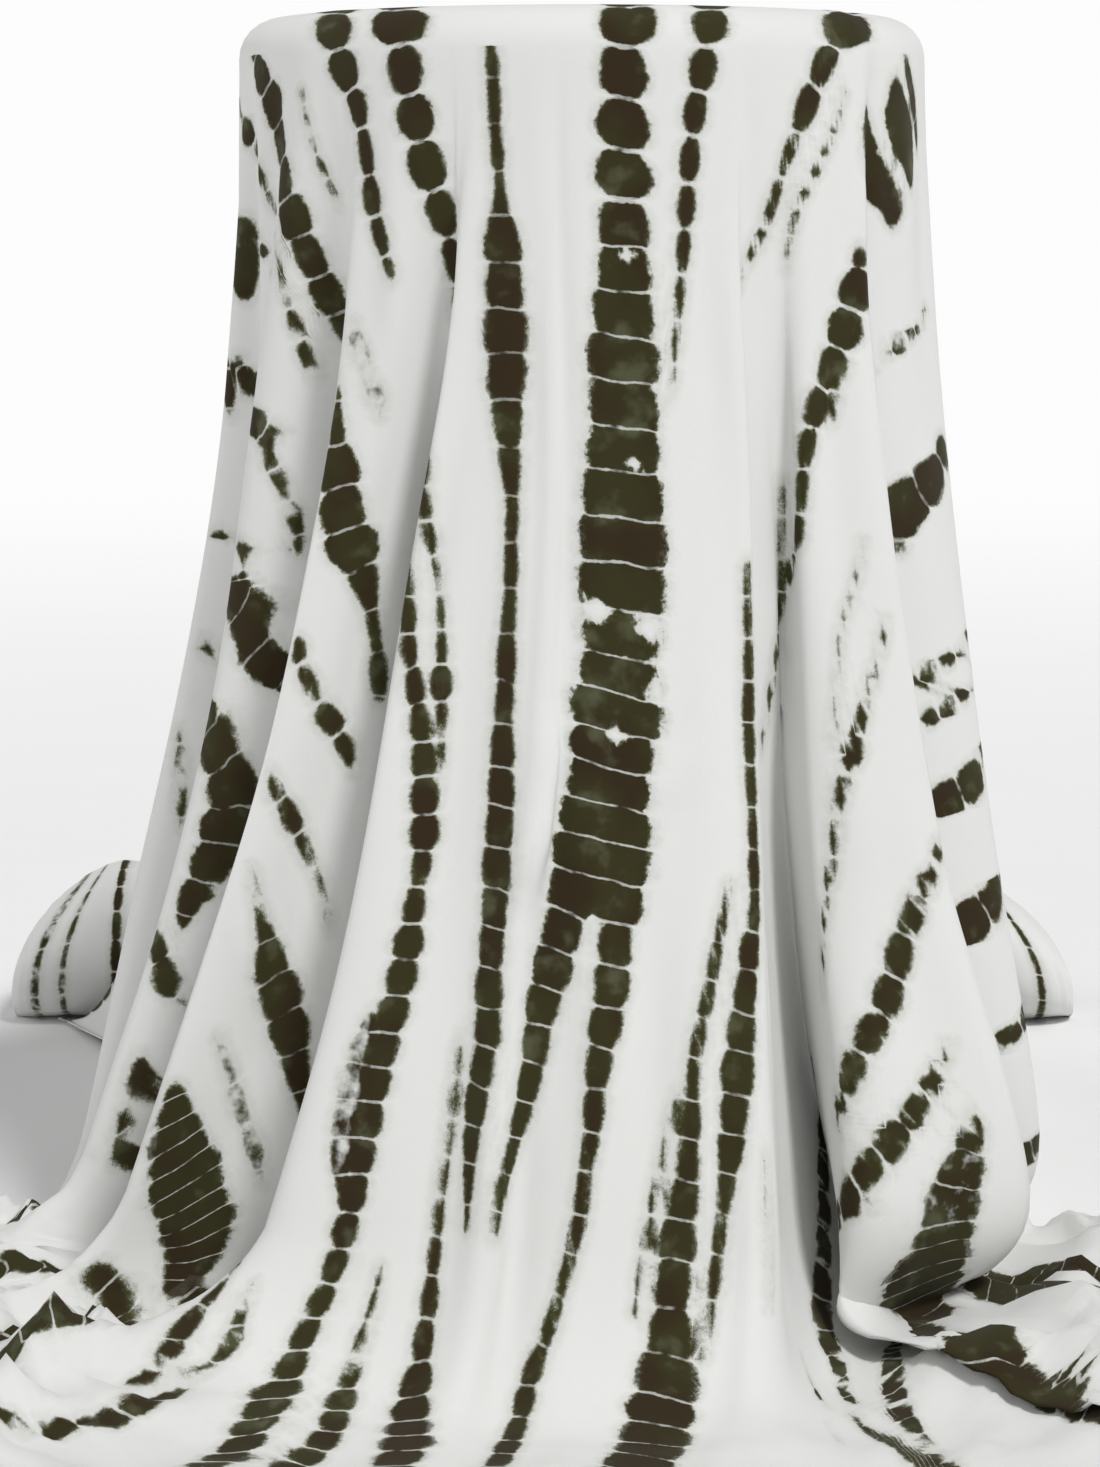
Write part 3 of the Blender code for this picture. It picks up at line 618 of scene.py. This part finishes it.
    ("right_floor_thin", 0.7, 1, 0.9, 30, 0, (31.6, 1100, 7), (31.6, 1130, 12), (31.5, 1165, 12),
     (31.45, 1200, 8)),
    ("right_fan", 0.05, 1, 1, 24, 0.5, (36.1, 1050, 30), (36, 1090, 58), (35.95, 1140, 70),
     (35.95, 1200, 50), (36, 1420, 20)),
    ("right_fan_low", 0.2, 1, 1, 32, 0.4, (34.9, 1110, 24), (34.6, 1145, 50), (34.3, 1180, 62),
     (33.9, 1210, 62), (33.4, 1270, 46), (33, 1420, 30)),
    ("right_fan_side", 0.1, 1, 1, 28, 0.2, (38.8, 1050, 20), (38.2, 1140, 46), (37.8, 1280, 50),
     (37.6, 1420, 40)),
    ("right_corner", 0.4, 0.9, 1, 34, 0.3, (32.6, 1220, 12), (32.8, 1260, 34), (32.9, 1320, 42),
     (32.9, 1420, 36)),
    ("left_floor", 0.6, 1, 1, 36, 0, (19.2, 1070, 9), (19.6, 1110, 20), (21.8, 1145, 18),
     (22.2, 1200, 20), (22, 1420, 24)),
    ("left_floor_band", 0.5, 0.9, 1, 36, 0, (23, 1030, 6), (23.15, 1070, 11), (23.25, 1108, 20),
     (23.5, 1135, 14), (23.6, 1165, 12)),
    ("left_floor_next", 0.5, 0.9, 1, 36, 0, (23.45, 1040, 5), (23.5, 1070, 9), (23.65, 1090, 15),
     (23.75, 1120, 13), (23.8, 1155, 16), (23.95, 1180, 28), (24, 1200, 30), (23.7, 1250, 20),
     (23.3, 1420, 20)),
    ("left_corner", 0.5, 0.9, 0.95, 34, 0, (22.6, 1140, 10), (22.8, 1170, 22), (23, 1200, 30),
     (23.1, 1260, 26), (23, 1420, 20)),
    ("left_floor_side", 0.4, 0.9, 0.95, 36, 0, (20.4, 1120, 16), (19.8, 1180, 24), (19.4, 1280, 28),
     (19.2, 1420, 26)),
    ("left_floor_far", 0.4, 0.9, 0.9, 36, 0, (16.8, 1030, 12), (16.5, 1120, 22), (16, 1240, 28),
     (15.8, 1420, 24)),
    ("left_floor_edge", 0.4, 0.9, 0.85, 36, 0, (14.2, 1030, 12), (13.8, 1120, 22), (13.5, 1240, 26),
     (13.4, 1420, 22)),
    ("flap_edge", 0.7, 1, 1, 34, 0, (3.2, 1020, 8), (3.1, 1120, 26), (3, 1200, 30), (2.9, 1320, 14)),
    ("flap_under", 0.3, 0.9, 0.85, 34, 0, (4.2, 1000, 20), (4, 1150, 40), (3.8, 1350, 30)),
)
SPARED = (
    # fold, distance down in mm and radius in mm of a spot the dye didn't reach
    (28.35, 158, 2.2), (28.4, 332, 3.4), (27.75, 445, 7.5), (28.75, 462, 8),
    (28.1, 548, 4.5), (28.9, 512, 4),
)
OUT_OF_REACH = 1000.0
FIRST_BLOCK = 40
CLOSE_TO_RIM = 0.02

# How a column goes on down the back, as shares of the way to the middle and distances down in
# mm, and how the sides' own columns run, as folds sideways and distances down
BACK_MIDDLE = -0.3
BACK_ROUTE = ((0.0, -30), (0.14, 300), (0.28, 700), (0.38, 1100), (0.44, 1700))
SIDE_ROUTE = ((0.0, 0), (1.2, 40), (2.8, 130), (4.4, 300), (5.6, 560), (6.4, 900))
SIDE_FOLDS = ((10.8, -1.0), (43.2, 1.0))
SIDE_STARTS = (160, 360, 560, 780)
SIDE_WIDTHS = (12, 44)
SIDE_BLOCK = 36


def whole_columns():
    """The table's columns, those of them that go over the rim carried on down the back, and the
    sides' own, which turn round the side and run down towards the back. A column named after
    another, with a colon, takes up the count of blocks where the one before it has got to."""
    rng = np.random.default_rng(11)
    rim_degrees = np.array(FOLDS)[:, RIM]
    turn = np.append(rim_degrees, rim_degrees[0] + 360)
    fold_numbers = np.arange(len(turn))
    columns, families = [], {}
    for name, bead, line, strength, block, slant, *path in DYE_COLUMNS:
        family = families.setdefault(name.split(":")[0], len(columns))
        columns.append((path, bead, line, strength, block, slant, family))
        if path[0][1] < 0:
            degrees = np.interp(path[0][0], fold_numbers, turn)
            opposite = 180 - degrees if degrees > 0 else -180 - degrees
            opposite += 360 if opposite < turn[0] else 0
            fold = np.interp(opposite, turn, fold_numbers)
            middle = BACK_MIDDLE if degrees < 0 else BACK_MIDDLE + len(FOLDS)
            widths = path[0][2] * rng.uniform(0.5, 1.5, len(BACK_ROUTE))
            back = [(fold + (middle - fold) * s, d, w) for (s, d), w in zip(BACK_ROUTE, widths)]
            columns.append((back, bead, line, strength, block, 0.0, len(columns)))
    for down in SIDE_STARTS:
        for first, way in SIDE_FOLDS:
            path = [(first + way * f, down + d, rng.uniform(*SIDE_WIDTHS)) for f, d in SIDE_ROUTE]
            columns.append((path, rng.uniform(0.2, 0.8), 0.9, 1.0, SIDE_BLOCK, 0.0, len(columns)))
    return columns


def at_place(fold, down):
    """The sheet's own point at a fold and a distance in mm down from the rim."""
    row = int(np.searchsorted(down_of_row, down / MM))
    return sheet[row, int(round(fold * COLUMNS_PER_FOLD)) % COLUMNS]


def dyed(points):
    """For each point, from the dye column whose edge is nearest: the distance from its middle
    in mm, the blocks along it and its number; and its half width in mm, how beaded it is and
    how clear its lines are; and how strong it is. On the top the columns run straight back, and
    one that begins close under the rim stays off it. Spared spots push the distance out past
    the edge."""
    nearest = np.full(points.shape[:2], OUT_OF_REACH)
    place = np.zeros(points.shape)
    kind = np.zeros(points.shape)
    strong = np.zeros(points.shape[:2])
    rows = np.arange(ROWS)
    above_rim, level = (rows < RIM_ROW)[:, None], (rows < TOP_ROWS)[:, None]
    across = ring_places[:, :-1] - ring_places[:, -1:] / 2
    counts = {}
    for path, bead, line, strength, block, slant, family in whole_columns():
        path = np.array(path) / (1, MM, 1)
        folds, downs, widths = path.T
        right, run, past, reach = beside(path)
        block_length = block / MM
        first = downs[0] / block_length + FIRST_BLOCK
        if family in counts:
            first = np.interp(downs[0], down_of_row, counts[family])
        counts[family] = first + reach / block_length
        half = np.interp(down_of_row, downs, widths)[:, None] / 2 + 0 * right
        off = np.hypot(right, past[:, None]) * MM
        if downs[0] < 0:
            column = int(folds[0] * COLUMNS_PER_FOLD) % COLUMNS
            brow, edge = points[TOP_ROWS, column], points[RIM_ROW, column]
            inward = np.abs(brow[1] - points[..., 1] if edge[1] < 0 else points[..., 1] - brow[1])
            over = np.where(level, down_of_row[TOP_ROWS] - inward, down_of_row[:, None])
            run = np.where(above_rim, over - downs[0], run)
            off = np.where(above_rim, np.abs(points[..., 0] - edge[0]) * MM, off)
        elif downs[0] < CLOSE_TO_RIM:
            off = np.where(above_rim, OUT_OF_REACH, off)
        closer = off - half < nearest
        nearest = np.where(closer, off - half, nearest)
        blocks = first + (run + slant * across) / block_length
        place[closer] = np.stack([off, blocks, family + 0 * off], axis=-1)[closer]
        kind[closer] = np.stack([half, bead + 0 * half, line + 0 * half], axis=-1)[closer]
        strong[closer] = strength
    for fold, down, radius in SPARED:
        away = np.linalg.norm(points - at_place(fold, down), axis=2) * MM
        place[..., 0] = np.maximum(place[..., 0], kind[..., 0] + radius - away)
    return {"dye_place": place, "dye_kind": kind, "dye_strength": strong}


def add_object(name, data):
    """A new object in the scene that shows the data given."""
    item = bpy.data.objects.new(name, data)
    bpy.context.scene.collection.objects.link(item)
    return item


def cloth_object(name, points, closed_ends, attributes):
    """A piece of cloth from a grid of points whose rows are closed rings, with a fan to a middle
    point at each end that is to be closed, and the attributes' values at the points."""
    rows, columns = points.shape[:2]
    corner = np.arange(rows * columns).reshape(rows, columns)
    after = np.roll(corner, -1, axis=1)
    quads = np.stack([corner[:-1], corner[1:], after[1:], after[:-1]], axis=-1).reshape(-1, 4)
    flat = points.reshape(-1, 3)
    fans = []
    for end, row in zip(closed_ends, (0, rows - 1)):
        if end:
            flat = np.vstack([flat, points[row].mean(axis=0)])
            ring = (corner[row], after[row]) if row == 0 else (after[row], corner[row])
            hub = np.full(columns, len(flat) - 1)
            fans.append(np.stack([hub, *ring], axis=-1))
    mesh = bpy.data.meshes.new(name)
    mesh.from_pydata(flat.tolist(), [], [*quads.tolist(), *np.concatenate(fans).tolist()])
    for key, values in attributes.items():
        vector = values.ndim == 3
        item = mesh.attributes.new(key, "FLOAT_VECTOR" if vector else "FLOAT", "POINT")
        hubs = [values[row].mean(axis=0) for end, row in zip(closed_ends, (0, -1)) if end]
        grid = values.reshape(rows * columns, -1)
        out = np.concatenate([grid, *[hub.reshape(1, -1) for hub in hubs]])
        item.data.foreach_set("vector" if vector else "value", out.astype(np.float32).ravel())
    mesh.shade_smooth()
    mesh.materials.append(jersey)
    return add_object(name, mesh)


# The colours, how many lumps to the metre the noise has that varies the dye, how a block is
# shaped, as shares of its size, and how far its edge strays, in mm and as shares of its width
WHITE = (0.73, 0.73, 0.716)
DYE_BROWN = (0.031, 0.021, 0.009)
DYE_GREEN = (0.035, 0.032, 0.011)
DYE_EDGE = (0.080, 0.088, 0.034)
DYE_FADED = (0.110, 0.117, 0.068)
DYE_STAIN = (0.46, 0.48, 0.41)
DRIFT_LUMPS, WANDER_LUMPS, FADE_LUMPS, SWAY_LUMPS, BREAK_LUMPS = 15.0, 26.0, 30.0, 55.0, 60.0
BLOTCH_LUMPS, HALO_LUMPS, FRAY_LUMPS, KNIT_LUMPS, FUZZ_LUMPS = 70.0, 150.0, 230.0, 420.0, 800.0
BLOCK_WANDER, BLOCK_LEAST, BLOCK_MORE = 0.30, 0.86, 0.24
BEAD_POWER = 2.3
SWAY_SHARE, SWAY_MM = 0.30, 1.4
FRAY_SHARE, FRAY_MM = 0.18, 2.4
FUZZ_MM = 3.0
EDGE_MM, GREEN_MM, HALO_MM = (-1.8, 1.9), (4.0, 0.0), (-11.0, 0.5)
LINE_FINENESS, LINE_DEPTH, LINE_AT_BEADS, LINE_FRAY = 21, 0.72, 1.3, 2.2
LINE_STEP = (1.5, 0.3)
BREAKS, BLOTCHES, DRIFTS, FADES = (0.30, 0.56), (-0.18, 0.16), (0.40, 0.60), (0.55, 0.75)
FADED_MOST, GREEN_MOST, STAIN_MOST = 0.60, 0.75, 0.75
KNIT_SQUASH, KNIT_HEIGHT, KNIT_STRENGTH = (1.0, 1.0, 5.0), 0.0006, 0.3


def printed_jersey():
    """White cotton jersey and its dye. The edge of a column is its half width, narrowed towards
    each block's end where it is beaded, less the distance from its middle, in mm; noise frays
    it. Where a block ends, the binding's pale line crosses it. Inside, the colour drifts from
    brown to green and fades in patches, and it turns greener at the edge."""
    material, tree, shader, point = new_material("printed_jersey")

    def attribute(name):
        node = add_node(tree, "ShaderNodeAttribute", {}, attribute_name=name)
        split = add_node(tree, "ShaderNodeSeparateXYZ", {0: node.outputs["Vector"]})
        return (*split.outputs, node.outputs["Fac"])

    def result_of(operation):
        return lambda *values: math_node(tree, operation, *values)

    def noise(lumps, detail=2.0):
        return cloudy(tree, point, lumps, detail)

    def ramp(value, *limits):
        return ramp_between(tree, value, *limits)

    plus, minus, times, times_plus, floor, size_of, root, power = map(result_of, (
        "ADD", "SUBTRACT", "MULTIPLY", "MULTIPLY_ADD", "FLOOR", "ABSOLUTE", "SQRT", "POWER",
    ))
    off, blocks, number, _ = attribute("dye_place")
    half, bead, line, _ = attribute("dye_kind")
    strength = attribute("dye_strength")[3]

    # The block, how near the point is to its ends, and the block's own chance
    wander = times_plus(minus(noise(WANDER_LUMPS), 0.5), BLOCK_WANDER, blocks)
    block = floor(wander)
    ends = times(size_of(minus(minus(wander, block), 0.5)), 2)
    key = add_node(tree, "ShaderNodeCombineXYZ", {0: block, 1: number}).outputs[0]
    chance = add_node(tree, "ShaderNodeTexWhiteNoise", {"Vector": key}).outputs["Value"]

    # How far inside the frayed edge the point is, in mm
    fullness = times(half, times_plus(chance, BLOCK_MORE, BLOCK_LEAST))
    rounded = root(minus(1, power(ends, BEAD_POWER)))
    width = times(fullness, plus(1, times(bead, minus(rounded, 1))))
    sway = times(minus(noise(SWAY_LUMPS), 0.5), times_plus(half, SWAY_SHARE, SWAY_MM))
    edge = plus(sway, minus(width, off))
    fray = minus(noise(FRAY_LUMPS, 3.0), 0.5)
    nap = times(fray, times_plus(half, FRAY_SHARE, FRAY_MM))
    frayed = plus(nap, times_plus(minus(noise(FUZZ_LUMPS), 0.5), FUZZ_MM, edge))
    cover = ramp(frayed, *EDGE_MM)

    # The pale line at the block's end, broken here and there
    to_line = times(minus(1, ends), LINE_FINENESS)
    thin = plus(to_line, times_plus(bead, -LINE_AT_BEADS, times(fray, LINE_FRAY)))
    broken = ramp(noise(BREAK_LUMPS), *BREAKS)
    gap = times(ramp(thin, *LINE_STEP), times(line, broken))
    cover = times(cover, times_plus(gap, -LINE_DEPTH, 1))

    # The patches that a weak column lacks
    blotch = minus(noise(BLOTCH_LUMPS, 3.0), minus(1, strength))
    cover = times(cover, ramp(blotch, *BLOTCHES))

    # The colours of the dye, and of the cloth round it
    dye = blend_colours(tree, ramp(noise(DRIFT_LUMPS), *DRIFTS), DYE_BROWN, DYE_GREEN)
    fade = ramp(noise(FADE_LUMPS, 3.0), *FADES, 0.0, FADED_MOST)
    dye = blend_colours(tree, fade, dye, DYE_FADED)
    dye = blend_colours(tree, ramp(frayed, *GREEN_MM, 0.0, GREEN_MOST), dye, DYE_EDGE)
    halo = times(ramp(frayed, *HALO_MM), noise(HALO_LUMPS, 3.0))
    ground = blend_colours(tree, times(halo, STAIN_MOST), WHITE, DYE_STAIN)

    squash = add_node(tree, "ShaderNodeMapping", {"Vector": point, "Scale": KNIT_SQUASH})
    knit = cloudy(tree, squash.outputs[0], KNIT_LUMPS)
    inputs = {
        "Base Color": blend_colours(tree, cover, ground, dye),
        "Roughness": 0.92,
        "Specular IOR Level": 0.12,
        "Sheen Weight": 0.06,
        "Sheen Roughness": 0.5,
        "Normal": bumped(tree, knit, KNIT_STRENGTH, KNIT_HEIGHT),
    }
    set_inputs(tree, shader, inputs)
    return material


jersey = printed_jersey()
cloth = cloth_object("jersey_drape", sheet, (True, False), dyed(sheet))
shell = cloth.modifiers.new("thickness", "SOLIDIFY")
shell.thickness = SHEET
shell.offset = 0.0
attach(cloth, "root")
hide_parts("draped_cloth")


# The roll behind: the rest of the same length, wound loosely on itself with no core showing.
# It has slumped a little, and its turns have slid out sideways at the foot of both ends.

ROLL_END = (
    # how far in from the end, and radius there
    (0.0, 0.0), (0.0, 0.026), (0.0, 0.052), (0.008, 0.072), (0.028, 0.086), (0.065, 0.093),
    (0.13, 0.095),
)
ROLL_BANDS = (
    # place along the roll, half width in mm, how beaded, and how strong
    (-0.645, 5, 0.6, 0.55), (-0.612, 4, 0.8, 0.62), (-0.545, 7, 0.5, 1.0), (-0.455, 12, 0.3, 1.0),
    (-0.36, 8, 0.7, 1.0), (-0.25, 20, 0.2, 1.0), (-0.12, 9, 0.8, 1.0), (0.03, 26, 0.1, 1.0),
    (0.15, 8, 0.8, 1.0), (0.27, 15, 0.3, 1.0), (0.38, 9, 0.6, 0.8), (0.47, 12, 0.4, 1.0),
    (0.545, 5, 0.3, 0.75),
)
ROLL_WAVES = (
    # height, waves round the roll, and radians along each metre of it
    (0.0009, 3, 9), (0.0007, 7, -31),
)
RING_HEIGHT, RINGS_ALONG, RINGS_SWAY = 0.0010, 64, 1.5
END_RINGS, MIDDLE_RINGS, ROLL_COLUMNS = 70, 90, 160
ROLL_LEAN, LEAN_POWER = (0.100, 0.150), 2.7
LEAST_RADIUS, EVEN_WITHIN = 0.0012, 0.06
ROLL_FLAT = 0.0015
TURN_PITCH, TURN_RIDGE, RIDGE_FADES = 0.0085, 0.0016, (0.02, 0.01)
ROLL_BLOCK, FIRST_ROLL_BLOCK = 0.036, 50
FIRST_BAND = 70


def roll_grid():
    """The roll as rings round X from the left end's middle to the right end's. Its profile is a
    smoothed broken line of places and radii. Its end turns show as ridges that climb by one
    pitch in each turn. Its top leans in at both ends by a power of the height."""
    setbacks, radii = np.array(ROLL_END).T
    depth, full = setbacks[-1], radii[-1]
    fine = np.linspace(0, len(radii) - 1, END_RINGS)
    setback = smoothed(np.interp(fine, np.arange(len(radii)), setbacks))
    end_r = np.maximum(smoothed(np.interp(fine, np.arange(len(radii)), radii)), LEAST_RADIUS)
    middle = np.linspace(roll_low.x + depth, roll_high.x - depth, MIDDLE_RINGS + 2)[1:-1]
    place = np.concatenate([roll_low.x + setback, middle, (roll_high.x - setback)[::-1]])
    r = np.concatenate([end_r, np.full(len(middle), full), end_r[::-1]])
    near_end = np.clip(1 - setback / depth, 0, 1)
    left_lean, right_lean = ROLL_LEAN[0] * near_end, -ROLL_LEAN[1] * near_end[::-1]
    lean = np.concatenate([left_lean, np.zeros(len(middle)), right_lean])[:, None]
    angle = np.linspace(0, 2 * math.pi, ROLL_COLUMNS, endpoint=False)

    along, ring_r, turn = place[:, None], r[:, None], angle[None, :]
    wound = ring_r / TURN_PITCH + turn / (2 * math.pi)
    outer, inner = RIDGE_FADES
    ridge = TURN_RIDGE * np.abs(np.sin(math.pi * wound)) * faded(ring_r, 0, inner, full, outer)
    uneven = RING_HEIGHT * np.sin(RINGS_ALONG * along + RINGS_SWAY * np.sin(2 * turn))
    for height, round_count, slope in ROLL_WAVES:
        uneven = uneven + height * np.sin(round_count * turn + slope * along)
    full_r = ring_r + (uneven - TURN_RIDGE) * np.clip(ring_r / EVEN_WITHIN, 0, 1)
    z = np.maximum(ring_r - ROLL_FLAT - full_r * np.cos(turn), 0.0)
    y = (roll_low.y + roll_high.y) / 2 + full_r * np.sin(turn)
    leant = lean * (z / (roll_high.y - roll_low.y)) ** LEAN_POWER
    x = along + leant - np.where(along < 0, -1.0, 1.0) * (TURN_RIDGE - ridge)
    return np.stack([x, y, z], axis=-1), place, r, angle


def roll_dyed(place, radius, angle):
    """What the dye's attributes are on the roll: each ring belongs to the band whose edge is
    nearest to it, and the blocks are counted round the roll."""
    bands = np.array(ROLL_BANDS)
    off = np.abs(place[:, None] - bands[None, :, 0]) * MM
    band = (off - bands[None, :, 1]).argmin(axis=1)
    _, half, bead, strength = bands[band].T[:, :, None]
    off = off[np.arange(len(place)), band][:, None]
    blocks = (radius.max() * angle / ROLL_BLOCK + FIRST_ROLL_BLOCK)[None, :]
    number = FIRST_BAND + band[:, None]
    grid = np.zeros((len(place), len(angle)))
    return {
        "dye_place": np.stack([off + grid, blocks + grid, number + grid], axis=-1),
        "dye_kind": np.stack([half + grid, bead + grid, 1 + grid], axis=-1),
        "dye_strength": strength + grid,
    }


roll_points, *roll_rings = roll_grid()
roll = cloth_object("jersey_roll", roll_points, (True, True), roll_dyed(*roll_rings))
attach(roll, "root")
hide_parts("cloth_roll")


# The studio: a pale floor that runs well past the cloth, a soft lamp from the front right and
# a weaker one from the left, and the camera at the height of the cloth's upper third, looking
# slightly down.

FLOOR_SIDE = 60.0
FLOOR_MELTS = (1.6, 9.0)
FLOOR_PALE, FLOOR_MOTTLE, FLOOR_LUMPS = (0.90, 0.90, 0.90), (0.87, 0.87, 0.87), 3.0
WALL_LIGHT, CEILING_LIGHT = 0.98, 0.34
WALL_TOP, CEILING_FOOT = 0.06, 0.24
LAMP_DISTANCE = 5
CAMERA_DISTANCE = 3.2
CAMERA_HEIGHT = 0.96
IMAGE_LONG_SIDE = 1467
FOCAL_PIXELS = 3520
HORIZON_RISE = 528.5
AXIS_SHIFT = 31


def pale_floor():
    """A matte off-white floor with the faintest mottling, which melts into the white of the
    walls with the distance from the stand."""
    material, tree, shader, place = new_material("pale_floor")
    mottle = cloudy(tree, place, FLOOR_LUMPS)
    inputs = {
        "Base Color": blend_colours(tree, mottle, FLOOR_PALE, FLOOR_MOTTLE),
        "Roughness": 0.9,
        "Specular IOR Level": 0.1,
    }
    set_inputs(tree, shader, inputs)
    away = add_node(tree, "ShaderNodeVectorMath", {0: place}, operation="LENGTH").outputs["Value"]
    clear = add_node(tree, "ShaderNodeBsdfTransparent", {}).outputs[0]
    melt = ramp_between(tree, away, *FLOOR_MELTS)
    mixed = add_node(tree, "ShaderNodeMixShader", {0: melt, 1: shader.outputs[0], 2: clear})
    set_inputs(tree, tree.nodes["Material Output"], {"Surface": mixed.outputs[0]})
    return material


def studio_world():
    """White light from the walls all round, dimmer overhead: the strength falls smoothly with
    the height of the direction looked in."""
    world = bpy.data.worlds.new("studio")
    world.use_nodes = True
    tree = world.node_tree
    way = add_node(tree, "ShaderNodeTexCoord", {}).outputs["Generated"]
    rise = add_node(tree, "ShaderNodeSeparateXYZ", {0: way}).outputs["Z"]
    strength = ramp_between(tree, rise, WALL_TOP, CEILING_FOOT, WALL_LIGHT, CEILING_LIGHT)
    white = (1.0, 1.0, 1.0, 1.0)
    set_inputs(tree, tree.nodes["Background"], {"Color": white, "Strength": strength})
    return world


def soft_sun(name, degrees_round, degrees_up, spread, strength):
    """A broad far lamp, from so many degrees to the right of the front and above the floor."""
    light = bpy.data.lights.new(name, "SUN")
    light.angle = math.radians(spread)
    light.energy = strength
    turn, rise = math.radians(degrees_round), math.radians(degrees_up)
    level = math.cos(rise)
    way = Vector((level * math.sin(turn), -level * math.cos(turn), math.sin(rise)))
    lamp = add_object(name, light)
    lamp.rotation_euler = way.to_track_quat("Z", "Y").to_euler()
    lamp.location = way * LAMP_DISTANCE


floor_data = bpy.data.meshes.new("studio_floor")
signs = ((-1, -1), (1, -1), (1, 1), (-1, 1))
corners = [(x * FLOOR_SIDE / 2, y * FLOOR_SIDE / 2, 0.0) for x, y in signs]
floor_data.from_pydata(corners, [], [(0, 1, 2, 3)])
floor_data.materials.append(pale_floor())
studio_floor = add_object("studio_floor", floor_data)

bpy.context.scene.world = studio_world()
soft_sun("key", 38, 52, 12, 2.05)
soft_sun("fill", -78, 28, 40, 0.55)

camera_data = bpy.data.cameras.new("front")
camera_data.sensor_width = 36.0
camera_data.lens = FOCAL_PIXELS / IMAGE_LONG_SIDE * camera_data.sensor_width
camera = add_object("front", camera_data)
camera.location = (0.0, -CAMERA_DISTANCE, CAMERA_HEIGHT)
pitch = math.atan(HORIZON_RISE / FOCAL_PIXELS)
yaw = math.atan(AXIS_SHIFT / FOCAL_PIXELS)
camera.rotation_euler = (math.pi / 2 - pitch, 0.0, yaw)
bpy.context.scene.camera = camera
bpy.context.scene.view_settings.view_transform = "Standard"
